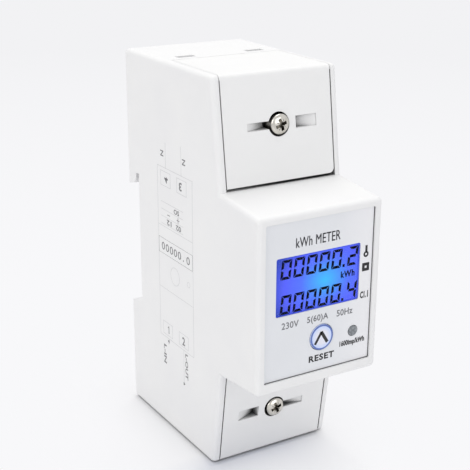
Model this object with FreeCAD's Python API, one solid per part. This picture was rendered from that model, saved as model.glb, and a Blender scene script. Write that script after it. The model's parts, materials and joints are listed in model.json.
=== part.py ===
import FreeCAD, Part
import os
from FreeCAD import Vector

# Energy meter for a 35 mm top-hat rail, two modules wide, in millimetres.
# X is the width, depth is measured forward from the rear plane, Z is the height above the lower end.

# Body outline
body_width = 35.0
end_length = 28.5
block_height = 44.0
block_drop = 0.4
block_depth = 65.7
terminal_end_depth = 44.8
cover_rise = 3.75
block_draft = 1.6
edge_radius = 1.2

# Length by which a cut runs past the surface, and a joined form sinks into its neighbour
past = 1.0

# Distance within which a point counts as on an edge, and margin round the rail channel
on_edge = 1e-4
channel_margin = 0.1

# Walls of the main housing
side_wall = 1.9
end_wall = 2.0
face_wall = 2.0
block_wall = 1.8
deck_wall = 1.8
deck_sink = 7.0
end_step_depth = 22.0
entry_inset = 6.5
entry_width = 7.4
entry_depth_size = 7.4
cover_ledge = 1.2

# Rail and its channel
rail_width = 35.0
rail_play = 0.1
rail_rise = 0.4
rail_channel_depth = 5.8
lip_groove = 1.7
lip_reach = 3.0
lip_slope = 0.7
lip_lead = 1.1
nose_slope = 2.6

# Fits between mouldings
moulding_gap = 0.15
cover_gap = 0.2
cover_side_gap = 0.3
slide_gap = 0.2

# Rear base
base_wall = 1.8
base_depth = 16.0
hook_from_side = 7.5
hook_width = 4.4
hook_height = 1.1
hook_flat = 0.7
hook_tip_depth = 20.0
window_length = 2.0
window_margin = 0.3

# Rail latch and its spring
latch_width = 13.6
latch_thickness = 4.0
latch_foot = 0.6
latch_travel = 3.0
tooth_clearance = 0.6
tooth_slope = 1.2
flange_side = 1.2
flange_thickness = 1.3
flange_front = 2.3
flange_bottom = 6.0
flange_length = 20.0
pry_slot_width = 6.0
pry_slot_height = 2.4
pry_slot_bottom = 2.2
pocket_width = 4.6
pocket_bottom = 6.2
pocket_length = 14.0
lug_height = 2.2
pocket_skin = 0.8
spring_width = 3.6
spring_strip = 0.3
spring_folds = 7

# Terminal covers
cover_wall = 1.8
cover_end_gap = 0.7
cover_skirt = 5.0
cover_skirt_wall = 1.3
cover_corner = 1.3
seal_from_root = 14.2
seal_hole_radius = 2.95
seal_cup_depth = 3.6
seal_cup_wall = 1.2
seal_cup_floor = 1.2
seal_cup_overlap = 0.5
ramp_far = 8.8
ramp_height = 1.9
ramp_shallow = 0.35
ramp_deep = 3.0
tray_near = 4.8
tray_far = 10.75
tray_height = 2.9
tray_shallow = 0.3
tray_deep = 2.9
ramp_floor = 1.2

# Sealing screws
seal_head_radius = 2.55
seal_head_proud = 0.5
seal_head_dome = 0.35
seal_shank_radius = 1.25
seal_boss_radius = 3.4
thread_gap = 0.05
seal_screw_length = 16.6
cross_length = 3.4
cross_width = 0.75
cross_depth = 1.1
cross_turn = 20

# Face label, window and pulse lamp
label_side_frame = 2.25
label_low_frame = 3.0
label_top_frame = 2.0
label_thickness = 0.4
label_recess = 0.6
label_corner = 0.3
label_gap = 0.15
window_left_margin = 3.15
window_right_margin = 3.55
window_rise = 16.05
window_height = 14.5
window_corner = 0.5
window_gap = 0.08
pane_thickness = 0.35
lamp_from_edge = 4.85
lamp_rise = 8.0
lamp_radius = 1.3
lamp_proud = 0.1
lamp_foot = 2.4
lamp_lead = 0.5

# Display parts
panel_margin = 1.7
panel_top_margin = 1.0
panel_low_margin = 3.0
panel_step_margin = 0.55
panel_thickness = 2.2
panel_behind_wall = 0.1
connector_height = 2.6
guide_inset = 1.2
guide_gap = 0.2
guide_side = 0.5
connector_gap = 0.4
display_board_thickness = 1.6
display_board_gap = 4.7
display_board_margin = 1.0
display_board_end_gap = 2.0
post_size = 3.2
post_inset = 1.8
post_end_inset = 2.3
clip_width = 5.0
clip_thickness = 1.2
clip_hook = 0.9
clip_slope = 1.6
board_screw_head = 1.5
board_screw_radius = 0.8
board_screw_cap = 1.2
board_screw_length = 5.0
board_hole_gap = 0.1

# Reset key and its switch
key_x = 1.1
key_rise = 8.4
key_radius = 3.3
key_gap = 0.15
key_proud = 0.2
key_travel = 0.4
key_flange = 1.0
key_flange_width = 0.9
key_bevel = 0.25
key_stem = 2.2
switch_size = 6.0
switch_height = 2.4
plunger_radius = 1.6
plunger_sink = 0.9
plunger_gap = 0.1

# Main board and riser board
board_thickness = 1.6
main_board_depth = 12.0
board_margin = 0.4
main_board_inset = 5.5
support_side_gap = 0.95
support_end_gap = 2.4
support_radius = 2.2
riser_side_gap = 6.2
riser_thickness = 1.6
riser_half_height = 16.0
riser_gap = 0.8
header_width = 2.5
header_depth = 4.0
header_half_height = 13.5

# Terminals
cage_side_gap = 1.2
cage_width = 10.4
cage_depth = 12.0
cage_sink = 4.4
cage_height = 9.2
cage_wall = 1.4
cage_gap = 0.2
bar_side_gap = 0.2
bar_thickness = 1.8
bar_bridge = 4.0
bar_bridge_gap = 0.8
bar_front_gap = 0.4
bar_end_gap = 0.6
shunt_neck = 2.2
shunt_pin_gap = 1.5
terminal_screw_radius = 2.3
terminal_screw_head = 3.2
terminal_head_height = 2.3
terminal_slot = 0.9
terminal_slot_depth = 1.2
access_radius = 3.6
sense_pin_size = 1.0

# Pulse terminals
pulse_poles = 3
pulse_pitch = 3.5
pulse_height = 6.6
pulse_depth = 4.8
pulse_wall = 0.8
pulse_well = 2.6
pulse_well_depth = 2.2
pulse_screw_radius = 1.1
pulse_screw_height = 1.2
pulse_slot_width = 0.4
pulse_slot_depth = 0.5
pulse_pin_length = 3.5
pulse_pin_size = 0.8

# Parts on the boards
film_size = (8.5, 18.0, 13.5)
film_left = 1.5
film_drop = 5.0
can_radius = 4.0
can_height = 12.5
can_gap = 2.0
disc_radius = 5.0
disc_thickness = 3.6
disc_drop = 9.0
disc_gap = 3.2
disc_lead_reach = 2.5
lead_length = 1.2
lead_size = 0.7
lead_sink = 0.2
opto_size = (6.5, 4.6, 3.5)
opto_x = -3.5
opto_gap = 1.0
opto_pin_pitch = 2.54
opto_pin = (0.8, 0.5, 1.6)
chip_size = (6.0, 8.6, 1.7)
chip_sink = 2.0
chip_standoff = 0.1
chip_pin = (1.2, 0.5, 0.7)
chip_pin_count = 4
driver_size = (10.0, 10.0, 1.5)
driver_pin = (1.4, 0.5, 0.6)
driver_pin_count = 3
crystal_size = (3.6, 10.5)
crystal_sink = 10.0
crystal_rise = 2.0
crystal_round_share = 0.6

# Places worked out from the sizes above
rear_y = block_depth / 2
half_width = body_width / 2
inner_half = half_width - side_wall
body_height = 2 * end_length + block_height - block_drop
block_bottom = end_length - block_drop
block_top = block_bottom + block_height
block_centre = (block_bottom + block_top) / 2
terminal_root_depth = terminal_end_depth + cover_rise
deck_depth = terminal_end_depth - deck_sink
rail_centre = block_centre + rail_rise
block_root_bottom = block_bottom - block_draft
block_root_top = block_top + block_draft
slot_top = rail_centre + rail_width / 2 + rail_play
slot_bottom = rail_centre - rail_width / 2 - rail_play
lip_inner = slot_top - lip_reach
lip_rear = lip_inner - lip_slope
nose_rear = slot_bottom - nose_slope
groove_depth = rail_channel_depth - lip_groove
label_floor = block_depth - label_recess - label_thickness
label_face = block_depth - label_recess
label_width = body_width - 2 * label_side_frame
label_bottom = block_bottom + label_low_frame
label_height = block_height - label_low_frame - label_top_frame
label_centre = label_bottom + label_height / 2
window_left = window_left_margin - label_width / 2
window_right = label_width / 2 - window_right_margin
window_bottom = label_bottom + window_rise
window_top = window_bottom + window_height
window_x = (window_left + window_right) / 2
window_z = (window_bottom + window_top) / 2
window_width = window_right - window_left
key_z = label_bottom + key_rise
lamp_x = label_width / 2 - lamp_from_edge
lamp_z = label_bottom + lamp_rise
wall_back = block_depth - face_wall
board_front = wall_back - panel_behind_wall - panel_thickness - display_board_gap
board_back = board_front - display_board_thickness
base_end = end_wall + moulding_gap
base_half = inner_half - moulding_gap
floor_front = rail_channel_depth + base_wall
hook_x = half_width - hook_from_side
tooth_height = latch_travel - tooth_clearance
seal_z = block_root_top + seal_from_root
cover_bottom = block_root_top + cover_end_gap
cover_lean = (terminal_root_depth - terminal_end_depth) / (body_height - block_root_top)
cage_top = body_height - entry_inset - deck_wall - cage_gap
cage_z = cage_top - cage_height / 2
cage_front = deck_depth - cage_sink
terminal_x = inner_half - cage_side_gap - cage_width / 2
bar_width = cage_width - 2 * cage_wall - 2 * bar_side_gap
main_board_front = main_board_depth + board_thickness
display_board_low = block_bottom + block_wall + display_board_end_gap
display_board_high = block_top - block_wall - display_board_end_gap
support_x = base_half - base_wall - support_radius - support_side_gap
riser_x = riser_side_gap - inner_half


def y_at(depth):
    """Y of a depth in front of the rear plane."""
    return rear_y - depth


def block(x, d, z):
    """Box between pairs of x, depth and height."""
    corner = Vector(x[0], y_at(d[1]), z[0])
    return Part.makeBox(x[1] - x[0], d[1] - d[0], z[1] - z[0], corner)


def centred(x, z, width, height, d):
    """Box centred on a place of the front view, between two depths."""
    return block((x - width / 2, x + width / 2), d, (z - height / 2, z + height / 2))


def side_prism(outline, half):
    """Solid of half width either side of the middle, from (depth, height) points."""
    points = [Vector(-half, y_at(d), z) for d, z in outline]
    face = Part.Face(Part.makePolygon(points + points[:1]))
    return face.extrude(Vector(2 * half, 0, 0))


def front_prism(outline, d):
    """Solid between two depths, from (x, height) points."""
    points = [Vector(x, y_at(d[0]), z) for x, z in outline]
    face = Part.Face(Part.makePolygon(points + points[:1]))
    return face.extrude(Vector(0, d[0] - d[1], 0))


def rod(x, z, d, radius):
    """Round bar along the depth, between two depths."""
    return Part.makeCylinder(radius, d[1] - d[0], Vector(x, y_at(d[0]), z), Vector(0, -1, 0))


def turned(x, z, outline):
    """Turned solid about an axis along the depth, from (radius, depth) points."""
    points = [Vector(x + r, y_at(d), z) for r, d in outline]
    face = Part.Face(Part.makePolygon(points + points[:1]))
    return face.revolve(Vector(x, 0, z), Vector(0, 1, 0), 360)


def rounded(shape, radius, wanted):
    """Shape with the edges for which wanted(middle, direction) holds rounded."""
    edges = []
    for edge in shape.Edges:
        first = edge.valueAt(edge.FirstParameter)
        last = edge.valueAt(edge.LastParameter)
        middle = edge.valueAt((edge.FirstParameter + edge.LastParameter) / 2)
        if wanted(middle, last - first):
            edges.append(edge)
    return shape.makeFillet(radius, edges)


def plate(x, z, width, height, d, corner):
    """Flat plate seen from the front, with rounded corners."""
    body = centred(x, z, width, height, d)
    return rounded(body, corner, lambda middle, run: abs(run.y) > body.BoundBox.YLength / 2
                   and abs(run.x) + abs(run.z) < on_edge)


def other_end(shape):
    """Shape turned half round about the middle of the body, for the lower end."""
    turned_shape = shape.copy()
    turned_shape.rotate(Vector(0, 0, body_height / 2), Vector(0, 1, 0), 180)
    return turned_shape


def mirrored_end(shape):
    """Shape mirrored from the upper end to the lower end."""
    return shape.mirror(Vector(0, 0, body_height / 2), Vector(0, 0, 1))


def joined(shapes):
    """One shape of several."""
    whole = shapes[0]
    for shape in shapes[1:]:
        whole = whole.fuse(shape)
    return whole.removeSplitter()


def grouped(shapes):
    """Separate solids kept together."""
    return Part.makeCompound(shapes)


def write(name, shape):
    """Store one piece as a STEP file and print its size."""
    shape.exportStep(os.path.join("parts", name + ".step"))
    print(name, "solids", len(shape.Solids), "volume", round(shape.Volume, 1), "valid", shape.isValid())


# Main housing

def rail_side():
    """Rear side of the body from its upper to its lower end, as (depth, height) points."""
    return [
        (0, lip_rear),
        (groove_depth - lip_lead, lip_inner),
        (groove_depth, lip_inner + lip_lead),
        (groove_depth, slot_top),
        (rail_channel_depth, slot_top),
        (rail_channel_depth, slot_bottom),
        (0, nose_rear),
    ]


def body_outline():
    """Side outline of the whole body."""
    return [
        (0, 0),
        (terminal_end_depth, 0),
        (terminal_root_depth, block_root_bottom),
        (block_depth, block_bottom),
        (block_depth, block_top),
        (terminal_root_depth, block_root_top),
        (terminal_end_depth, body_height),
        (0, body_height),
    ] + rail_side()


def body_blank():
    """Full body with its outer edges rounded."""
    blank = side_prism(body_outline(), half_width)
    corners = [
        (0, 0), (terminal_end_depth, 0), (block_depth, block_bottom),
        (block_depth, block_top), (terminal_end_depth, body_height), (0, body_height),
    ]

    def outer_edge(middle, run):
        if abs(run.x) > half_width:
            return any(abs(middle.y - y_at(d)) + abs(middle.z - z) < on_edge for d, z in corners)
        return middle.y < rear_y - on_edge and beyond_channel(middle)

    return rounded(blank, edge_radius, outer_edge)


def beyond_channel(point):
    """True for a point of the outer sides, not of the rail channel."""
    in_height = nose_rear - channel_margin < point.z < slot_top + channel_margin
    return not (in_height and point.y > y_at(rail_channel_depth + channel_margin))


def inner_space():
    """Side outline of the space inside the housing, open to the rear."""
    riser = end_step_depth - deck_wall
    deck = deck_depth - deck_wall
    entry = entry_inset + deck_wall
    return [
        (-past, end_wall),
        (riser, end_wall),
        (riser, entry),
        (deck, entry),
        (deck, block_root_bottom + block_wall),
        (wall_back, block_bottom + block_wall),
        (wall_back, block_top - block_wall),
        (deck, block_root_top - block_wall),
        (deck, body_height - entry),
        (riser, body_height - entry),
        (riser, body_height - end_wall),
        (-past, body_height - end_wall),
    ]


def terminal_chamber():
    """Side outline of the open space that the upper cover closes."""
    front = terminal_root_depth + cover_skirt
    top = body_height + past
    return [
        (end_step_depth, top),
        (end_step_depth, body_height - cover_wall),
        (end_step_depth + cover_ledge, body_height - cover_wall),
        (end_step_depth + cover_ledge, body_height - entry_inset),
        (deck_depth, body_height - entry_inset),
        (deck_depth, block_root_top),
        (front, block_root_top),
        (front, top),
    ]


def deck_cuts():
    """Screw holes and wire holes of the upper terminals."""
    cuts = []
    for side in (-1, 1):
        x = side * terminal_x
        cuts.append(rod(x, cage_z, (cage_front, deck_depth + past), access_radius))
        cuts.append(block((x - entry_width / 2, x + entry_width / 2),
                          (entry_depth() - entry_depth_size / 2, entry_depth() + entry_depth_size / 2),
                          (cage_top - cage_gap, body_height - entry_inset + past)))
    return cuts


def entry_depth():
    """Depth of the middle of the wire space in a cage."""
    rear = cage_front - cage_depth + cage_wall
    return (rear + bar_depths()[0]) / 2


def seal_boss():
    """Round boss that takes the upper sealing screw."""
    cup_floor = face_depth(seal_z + seal_boss_radius) - seal_cup_depth - seal_cup_floor
    boss = rod(0, seal_z, (deck_depth - deck_wall / 2, cup_floor), seal_boss_radius)
    thread_radius = seal_shank_radius + thread_gap
    thread = rod(0, seal_z, (deck_depth - deck_wall - past, cup_floor + past), thread_radius)
    return boss, thread


def face_depth(height):
    """Depth of the upper cover's outer face at a height."""
    return terminal_end_depth + (body_height - height) * cover_lean


def pulse_slot():
    """Slot in the upper deck for the pins of the pulse terminals."""
    width = pulse_poles * pulse_pitch
    through = (deck_depth - deck_wall - past, deck_depth + past)
    return centred(0, pulse_z(), width, pulse_pin_size * 2, through)


def pulse_z():
    """Height of the middle of the pulse terminals."""
    return block_root_top + pulse_height / 2 + moulding_gap


def snap_windows():
    """Two windows in the upper end wall for the hooks of the rear base."""
    cuts = []
    width = hook_width + 2 * window_margin
    front = window_front()
    for side in (-1, 1):
        x = side * hook_x
        cuts.append(block((x - width / 2, x + width / 2), (front - window_length, front),
                          (body_height - end_wall - past, body_height + past)))
    return cuts


def window_front():
    """Front depth of the windows for the hooks."""
    return hook_tip_depth - window_margin + moulding_gap


def latch_notch():
    """Notch in the lower end wall where the latch passes."""
    half = latch_width / 2 + 2 * slide_gap
    return block((-half, half), (-past, latch_thickness + 3 * slide_gap), (-past, end_wall + past))


def board_posts():
    """Four posts behind the front wall that the display board rests on."""
    reach = inner_half - display_board_margin - post_inset
    low = display_board_low + post_end_inset
    high = display_board_high - post_end_inset
    return [centred(x, z, post_size, post_size, (board_front, wall_back + face_wall / 2))
            for x in (-reach, reach) for z in (low, high)]


def board_clips():
    """Two clips behind the front wall that hook over the ends of the display board."""
    rear = board_back - clip_slope
    clips = []
    for edge, way in ((display_board_low, -1), (display_board_high, 1)):
        near = edge + way * moulding_gap
        far = near + way * clip_thickness
        hook = edge - way * clip_hook
        root = wall_back + face_wall / 2
        seat = board_back - moulding_gap
        outline = [(root, near), (root, far), (rear, far), (rear, near), (seat, hook), (seat, near)]
        clips.append(side_prism(outline, clip_width / 2))
    return clips


def face_cuts():
    """Label pocket and the openings in the front wall."""
    pocket = plate(0, label_centre, label_width + 2 * label_gap, label_height + 2 * label_gap,
                   (label_floor, block_depth + past), label_corner + label_gap)
    margin = 2 * (panel_step_margin + window_gap)
    through = (wall_back - past, block_depth)
    window = centred(window_x, window_z, window_width + margin, window_height + margin, through)
    key = rod(key_x, key_z, through, key_radius + key_gap)
    lamp = rod(lamp_x, lamp_z, through, lamp_radius + key_gap)
    return [pocket, window, key, lamp]


def main_housing():
    """White shell with the side walls, the display block, the decks and the end walls."""
    body = body_blank()
    body = body.cut(side_prism(inner_space(), inner_half))
    chamber = side_prism(terminal_chamber(), inner_half)
    body = body.cut(chamber).cut(lower_chamber())
    boss, thread = seal_boss()
    body = body.fuse([boss, other_end(boss)] + board_posts() + board_clips())
    cuts = [thread, other_end(thread), latch_notch(), pulse_slot()] + face_cuts()
    for cut in deck_cuts() + snap_windows():
        cuts += [cut, mirrored_end(cut)]
    return body.cut(cuts).removeSplitter()


def lower_chamber():
    """Open space that the lower cover closes."""
    outline = []
    for depth, height in terminal_chamber():
        low = body_height - height
        if abs(height - block_root_top) < 1e-6:
            low = block_root_bottom
        outline.append((depth, low))
    return side_prism(outline, inner_half)


# Terminal covers

def cover_blank():
    """Cover folded over the upper end, hollow behind, with skirts and a close fit at its end part."""
    half = inner_half - moulding_gap
    front_half = inner_half - cover_side_gap
    back = end_step_depth + cover_gap
    past_ledge = end_step_depth + cover_ledge + cover_gap
    face_low = face_depth(cover_bottom)
    outer = [
        (back, body_height),
        (terminal_end_depth, body_height),
        (face_low, cover_bottom),
        (face_low - cover_skirt, cover_bottom),
        (terminal_end_depth - cover_skirt, body_height - cover_skirt),
        (past_ledge, body_height - cover_skirt),
        (past_ledge, body_height - cover_wall),
        (back, body_height - cover_wall),
    ]
    hollow = [
        (past_ledge - cover_ledge / 2, body_height - cover_wall),
        (terminal_end_depth - cover_wall, body_height - cover_wall),
        (face_low - cover_wall, cover_bottom + cover_wall),
        (face_low - cover_skirt - past, cover_bottom + cover_wall),
        (terminal_end_depth - cover_skirt - past, body_height - cover_skirt - past),
        (past_ledge - cover_ledge / 2, body_height - cover_skirt - past),
    ]
    blank = side_prism(outer, half)

    def front_edge(middle, run):
        return (abs(run.x) > half and abs(middle.y - y_at(terminal_end_depth)) < on_edge
                and abs(middle.z - body_height) < on_edge)

    def root_corner(middle, run):
        return (abs(run.y) > cover_skirt / 2 and abs(middle.x - front_half) < on_edge
                and abs(middle.z - cover_bottom) < on_edge)

    blank = rounded(blank, edge_radius, front_edge)
    whole_depth = (0, block_depth)
    face_heights = (cover_bottom - past, body_height - edge_radius)
    relief = block((front_half, inner_half), whole_depth, face_heights)
    blank = blank.cut([relief, block((-inner_half, -front_half), whole_depth, face_heights)])
    blank = rounded(blank, cover_corner, root_corner)
    return blank.cut(side_prism(hollow, front_half - cover_skirt_wall))


def sloping(outline, low, high):
    """Solid that follows the lean of the cover's face, from (x, depth below the face) points."""
    base_depth_low = face_depth(low)
    points = [Vector(x, y_at(base_depth_low - sunk), low) for x, sunk in outline]
    face = Part.Face(Part.makePolygon(points + points[:1]))
    return face.extrude(Vector(0, y_at(face_depth(high)) - y_at(base_depth_low), high - low))


def seal_ramps():
    """Cuts that lead the sealing wire to the screw: a narrow ramp and a wide tray."""
    near = seal_cup_overlap - seal_hole_radius
    ramp = [(-ramp_far, -past), (-ramp_far, ramp_shallow), (near, ramp_deep), (near, -past)]
    tray = [(tray_near, -past), (tray_near, tray_deep), (tray_far, tray_shallow), (tray_far, -past)]
    return [sloping(ramp, seal_z - ramp_height / 2, seal_z + ramp_height / 2),
            sloping(tray, seal_z - tray_height / 2, seal_z + tray_height / 2)]


def seal_pad():
    """Thicker place behind the ramps, which is also the cup of the screw."""
    sunk = seal_cup_depth + seal_cup_floor
    half = seal_hole_radius + seal_cup_wall
    outline = [(-ramp_far - ramp_floor, cover_wall / 2), (-ramp_far - ramp_floor, cover_wall),
               (-half, sunk), (half, sunk), (tray_near + seal_cup_wall, tray_deep + ramp_floor),
               (tray_far + ramp_floor, cover_wall), (tray_far + ramp_floor, cover_wall / 2)]
    return sloping(outline, seal_z - half, seal_z + half)


def upper_terminal_cover():
    """Cover of the upper terminals, with the cup for its sealing screw."""
    face = face_depth(seal_z)
    cup_floor = face - seal_cup_depth
    cover = cover_blank().fuse(seal_pad())
    head_hole = rod(0, seal_z, (cup_floor, face + past), seal_hole_radius)
    shank_radius = seal_shank_radius + cover_gap
    shank_hole = rod(0, seal_z, (cup_floor - seal_cup_floor - past, cup_floor + past), shank_radius)
    return cover.cut([head_hole, shank_hole] + seal_ramps()).removeSplitter()


def upper_sealing_screw():
    """Pan head screw with a cross recess."""
    face = face_depth(seal_z)
    seat = face - seal_cup_depth
    top = face + seal_head_proud
    outline = [
        (0, top - seal_screw_length),
        (seal_shank_radius, top - seal_screw_length),
        (seal_shank_radius, seat),
        (seal_head_radius, seat),
        (seal_head_radius, top - seal_head_dome),
        (seal_head_radius - seal_head_dome, top),
        (0, top),
    ]
    screw = turned(0, seal_z, outline)
    recess = []
    for angle in (cross_turn, cross_turn + 90):
        arm = centred(0, seal_z, cross_length, cross_width, (top - cross_depth, top + past))
        arm.rotate(Vector(0, 0, seal_z), Vector(0, 1, 0), angle)
        recess.append(arm)
    return screw.cut(recess)


# Rear base, latch and spring

def base_outline():
    """Side outline of the rear base."""
    return [
        (0, base_end),
        (base_depth, base_end),
        (base_depth, body_height - base_end),
        (0, body_height - base_end),
    ] + rail_side()


def base_hollow():
    """Side outline of the tray inside the rear base."""
    low = base_end + base_wall
    high = body_height - low
    return [
        (floor_front, low),
        (base_depth + past, low),
        (base_depth + past, high),
        (base_wall, high),
        (base_wall, slot_top + base_wall),
        (floor_front, slot_top + base_wall),
    ]


def snap_hooks():
    """Two arms with hooks at the upper end of the base."""
    outer = body_height - base_end
    root = base_depth - past
    rear_face = window_front() - window_length + window_margin
    outline = [
        (root, outer - base_wall),
        (hook_tip_depth, outer - base_wall),
        (hook_tip_depth, outer - base_wall / 2),
        (rear_face + hook_flat, outer + hook_height),
        (rear_face, outer + hook_height),
        (rear_face, outer),
        (root, outer),
    ]
    arm = side_prism(outline, hook_width / 2)
    arms = []
    for side in (-1, 1):
        moved = arm.copy()
        moved.translate(Vector(side * hook_x, 0, 0))
        arms.append(moved)
    return arms


def board_supports():
    """Pillars that carry the main board, round where they take a screw and square elsewhere."""
    depths = (floor_front - base_wall / 2, main_board_depth)
    size = 2 * support_radius
    round_ones = [rod(x, z, depths, support_radius) for x, z in screw_places()]
    return round_ones + [centred(-x, z, size, size, depths) for x, z in screw_places()]


def screw_places():
    """Places of the main board's two screws, corner to corner beside the rail channel."""
    return [(-support_x, slot_bottom - support_end_gap), (support_x, slot_top + support_end_gap)]


def latch_channel():
    """Channel, open to the rear, with a groove down each side."""
    half = latch_width / 2 + slide_gap
    deep = latch_thickness + 2 * slide_gap
    channel = block((-half, half), (-past, deep), (-past, slot_bottom + past))
    groove_half = half + flange_side
    low = flange_front - slide_gap
    high = flange_front + flange_thickness + slide_gap
    groove = block((-groove_half, groove_half), (low, high), (-past, flange_top()))
    return channel.fuse(groove)


def flange_top():
    """Height where the latch's flanges stop against the base at rest."""
    return flange_bottom + flange_length


def spring_lug():
    """Lug of the base that the spring stands on."""
    half = pocket_width / 2 - slide_gap
    deep = latch_thickness + 2 * slide_gap
    rear = pocket_skin + 2 * slide_gap
    return block((-half, half), (rear, deep + past / 2), (pocket_bottom + slide_gap, spring_foot()))


def spring_foot():
    """Height of the spring's lower end."""
    return pocket_bottom + slide_gap + lug_height


def spring_head():
    """Height of the spring's upper end."""
    return pocket_bottom + pocket_length


def rear_base():
    """Base that closes the housing from behind and seats on the rail."""
    base = side_prism(base_outline(), base_half)
    base = base.cut(side_prism(base_hollow(), base_half - base_wall))
    arms = snap_hooks()
    base = base.fuse(arms + [mirrored_end(arm) for arm in arms] + board_supports())
    base = base.cut(latch_channel())
    base = base.fuse(spring_lug())
    pilots = [rod(x, z, (floor_front, main_board_depth + past), board_screw_radius)
              for x, z in screw_places()]
    return base.cut(pilots).removeSplitter()


def rail_latch():
    """Sliding latch with a hooked tooth at its upper end and a pry slot in its foot."""
    rear = slide_gap
    front = slide_gap + latch_thickness
    top = slot_bottom - slide_gap
    outline = [
        (rear, latch_foot),
        (front, latch_foot),
        (front, top + tooth_height),
        (front - tooth_slope, top + tooth_height),
        (rear, nose_rear),
    ]
    latch = side_prism(outline, latch_width / 2)
    half = latch_width / 2 + flange_side
    flanges = block((-half, half), (flange_front, flange_front + flange_thickness),
                    (flange_bottom, flange_top()))
    latch = latch.fuse(flanges)
    pocket = centred(0, pocket_bottom + pocket_length / 2, pocket_width, pocket_length,
                     (rear + pocket_skin, front + past))
    pry_z = pry_slot_bottom + pry_slot_height / 2
    pry = centred(0, pry_z, pry_slot_width, pry_slot_height, (-past, front + past))
    return latch.cut([pocket, pry]).removeSplitter()


def latch_spring():
    """Folded strip spring between the base's lug and the latch."""
    sides = (latch_thickness, pocket_skin + 2 * slide_gap)
    foot = spring_foot()
    rise = (spring_head() - foot - spring_strip) / spring_folds
    path = [(sides[0], foot)]
    for index in range(spring_folds + 1):
        path.append((sides[(index + 1) % 2], foot + index * rise))
    path.append((sides[spring_folds % 2], path[-1][1]))
    legs = []
    for (d, z), (next_d, next_z) in zip(path, path[1:]):
        leg = [(d, z), (next_d, next_z), (next_d, next_z + spring_strip), (d, z + spring_strip)]
        legs.append(side_prism(leg, spring_width / 2))
    return joined(legs)


# Front of the display block

def face_label():
    """Label sheet with openings for the window, the key and the lamp."""
    sheet = plate(0, label_centre, label_width, label_height, (label_floor, label_face), label_corner)
    through = (label_floor - past, label_face + past)
    opening = plate(window_x, window_z, window_width, window_height, through, window_corner)
    key = rod(key_x, key_z, through, key_radius + key_gap)
    lamp = rod(lamp_x, lamp_z, through, lamp_radius + key_gap)
    return sheet.cut([opening, key, lamp])


def display_window():
    """Clear pane in the label's opening."""
    return plate(window_x, window_z, window_width - 2 * window_gap, window_height - 2 * window_gap,
                 (label_floor, label_floor + pane_thickness), window_corner - window_gap)


def panel_depths():
    """Rear and front depth of the liquid crystal panel's main glass."""
    front = wall_back - panel_behind_wall
    return front - panel_thickness, front


def liquid_crystal_panel():
    """Two glasses, the front one stepped into the housing's window."""
    glass = block((window_left - panel_margin, window_right + panel_margin), panel_depths(),
                  (window_bottom - panel_low_margin, window_top + panel_top_margin))
    step = centred(window_x, window_z, window_width + 2 * panel_step_margin,
                   window_height + 2 * panel_step_margin, (panel_depths()[1], label_floor))
    return glass.fuse(step).removeSplitter()


def backlight_guide():
    """Light guide between the panel and the display board."""
    side = panel_margin - guide_side
    return block((window_left - side, window_right + side), (board_front, panel_depths()[0]),
                 (window_bottom + guide_inset, window_top + panel_top_margin - guide_gap))


def panel_connector():
    """Elastomer strip that joins the panel to the display board."""
    high = window_bottom + guide_inset - connector_gap
    return block((window_left, window_right), (board_front, panel_depths()[0]),
                 (high - connector_height, high))


def display_board():
    """Board behind the panel, on the housing's posts and held by its clips."""
    half = inner_half - display_board_margin
    return block((-half, half), (board_back, board_front), (display_board_low, display_board_high))


def board_screw(x, z):
    """Small screw whose head sits on the main board."""
    tip = main_board_front - board_screw_length
    shank = rod(x, z, (tip, main_board_front), board_screw_radius - thread_gap)
    head = rod(x, z, (main_board_front, main_board_front + board_screw_cap), board_screw_head)
    return joined([shank, head])


def main_board_screws():
    """Screws of the main board."""
    return grouped([board_screw(x, z) for x, z in screw_places()])


# Reset key

def key_flange_front():
    """Depth of the front of the key's flange at rest."""
    return wall_back - slide_gap / 2


def reset_key():
    """Round key with a flange behind the front wall and a stem to its switch."""
    flange_front_depth = key_flange_front()
    flange_rear = flange_front_depth - key_flange
    top = label_face + key_proud
    outline = [
        (0, flange_rear),
        (key_radius + key_flange_width, flange_rear),
        (key_radius + key_flange_width, flange_front_depth),
        (key_radius, flange_front_depth),
        (key_radius, top - key_bevel),
        (key_radius - key_bevel, top),
        (0, top),
    ]
    stem = centred(key_x, key_z, key_stem, key_stem, (switch_top(), flange_rear))
    return joined([turned(key_x, key_z, outline), stem])


def switch_top():
    """Depth of the switch plunger's end at rest."""
    return board_front + switch_height + key_travel + slide_gap


def switch_plunger():
    """Plunger of the reset switch, which moves with the key."""
    return rod(key_x, key_z, (switch_top() - plunger_sink - slide_gap, switch_top()), plunger_radius)


def reset_switch():
    """Body of the reset switch on the display board."""
    front = board_front + switch_height
    body = centred(key_x, key_z, switch_size, switch_size, (board_front, front))
    well_depths = (front - plunger_sink - plunger_gap, front + past)
    well = rod(key_x, key_z, well_depths, plunger_radius + plunger_gap)
    return body.cut(well)


def pulse_lamp():
    """Flat-ended lamp with two leads."""
    top = label_face + lamp_proud
    foot = board_front + lamp_foot
    lens = rod(lamp_x, lamp_z, (foot, top), lamp_radius)
    leads = [centred(lamp_x + side * lamp_radius / 2, lamp_z, lamp_lead, lamp_lead,
                     (board_front, foot + lead_sink)) for side in (-1, 1)]
    return joined([lens] + leads)


# Terminals

def cage_at(x):
    """Steel cage, open up and down, with a threaded hole in its front."""
    rear = cage_front - cage_depth
    half = cage_width / 2
    outer = block((x - half, x + half), (rear, cage_front), (cage_z - cage_height / 2, cage_top))
    opening = block((x - half + cage_wall, x + half - cage_wall),
                    (rear + cage_wall, cage_front - cage_wall), (cage_z - cage_height, cage_top + past))
    thread_radius = terminal_screw_radius + thread_gap
    thread = rod(x, cage_z, (cage_front - 2 * cage_wall, cage_front + past), thread_radius)
    return outer.cut([opening, thread])


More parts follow.
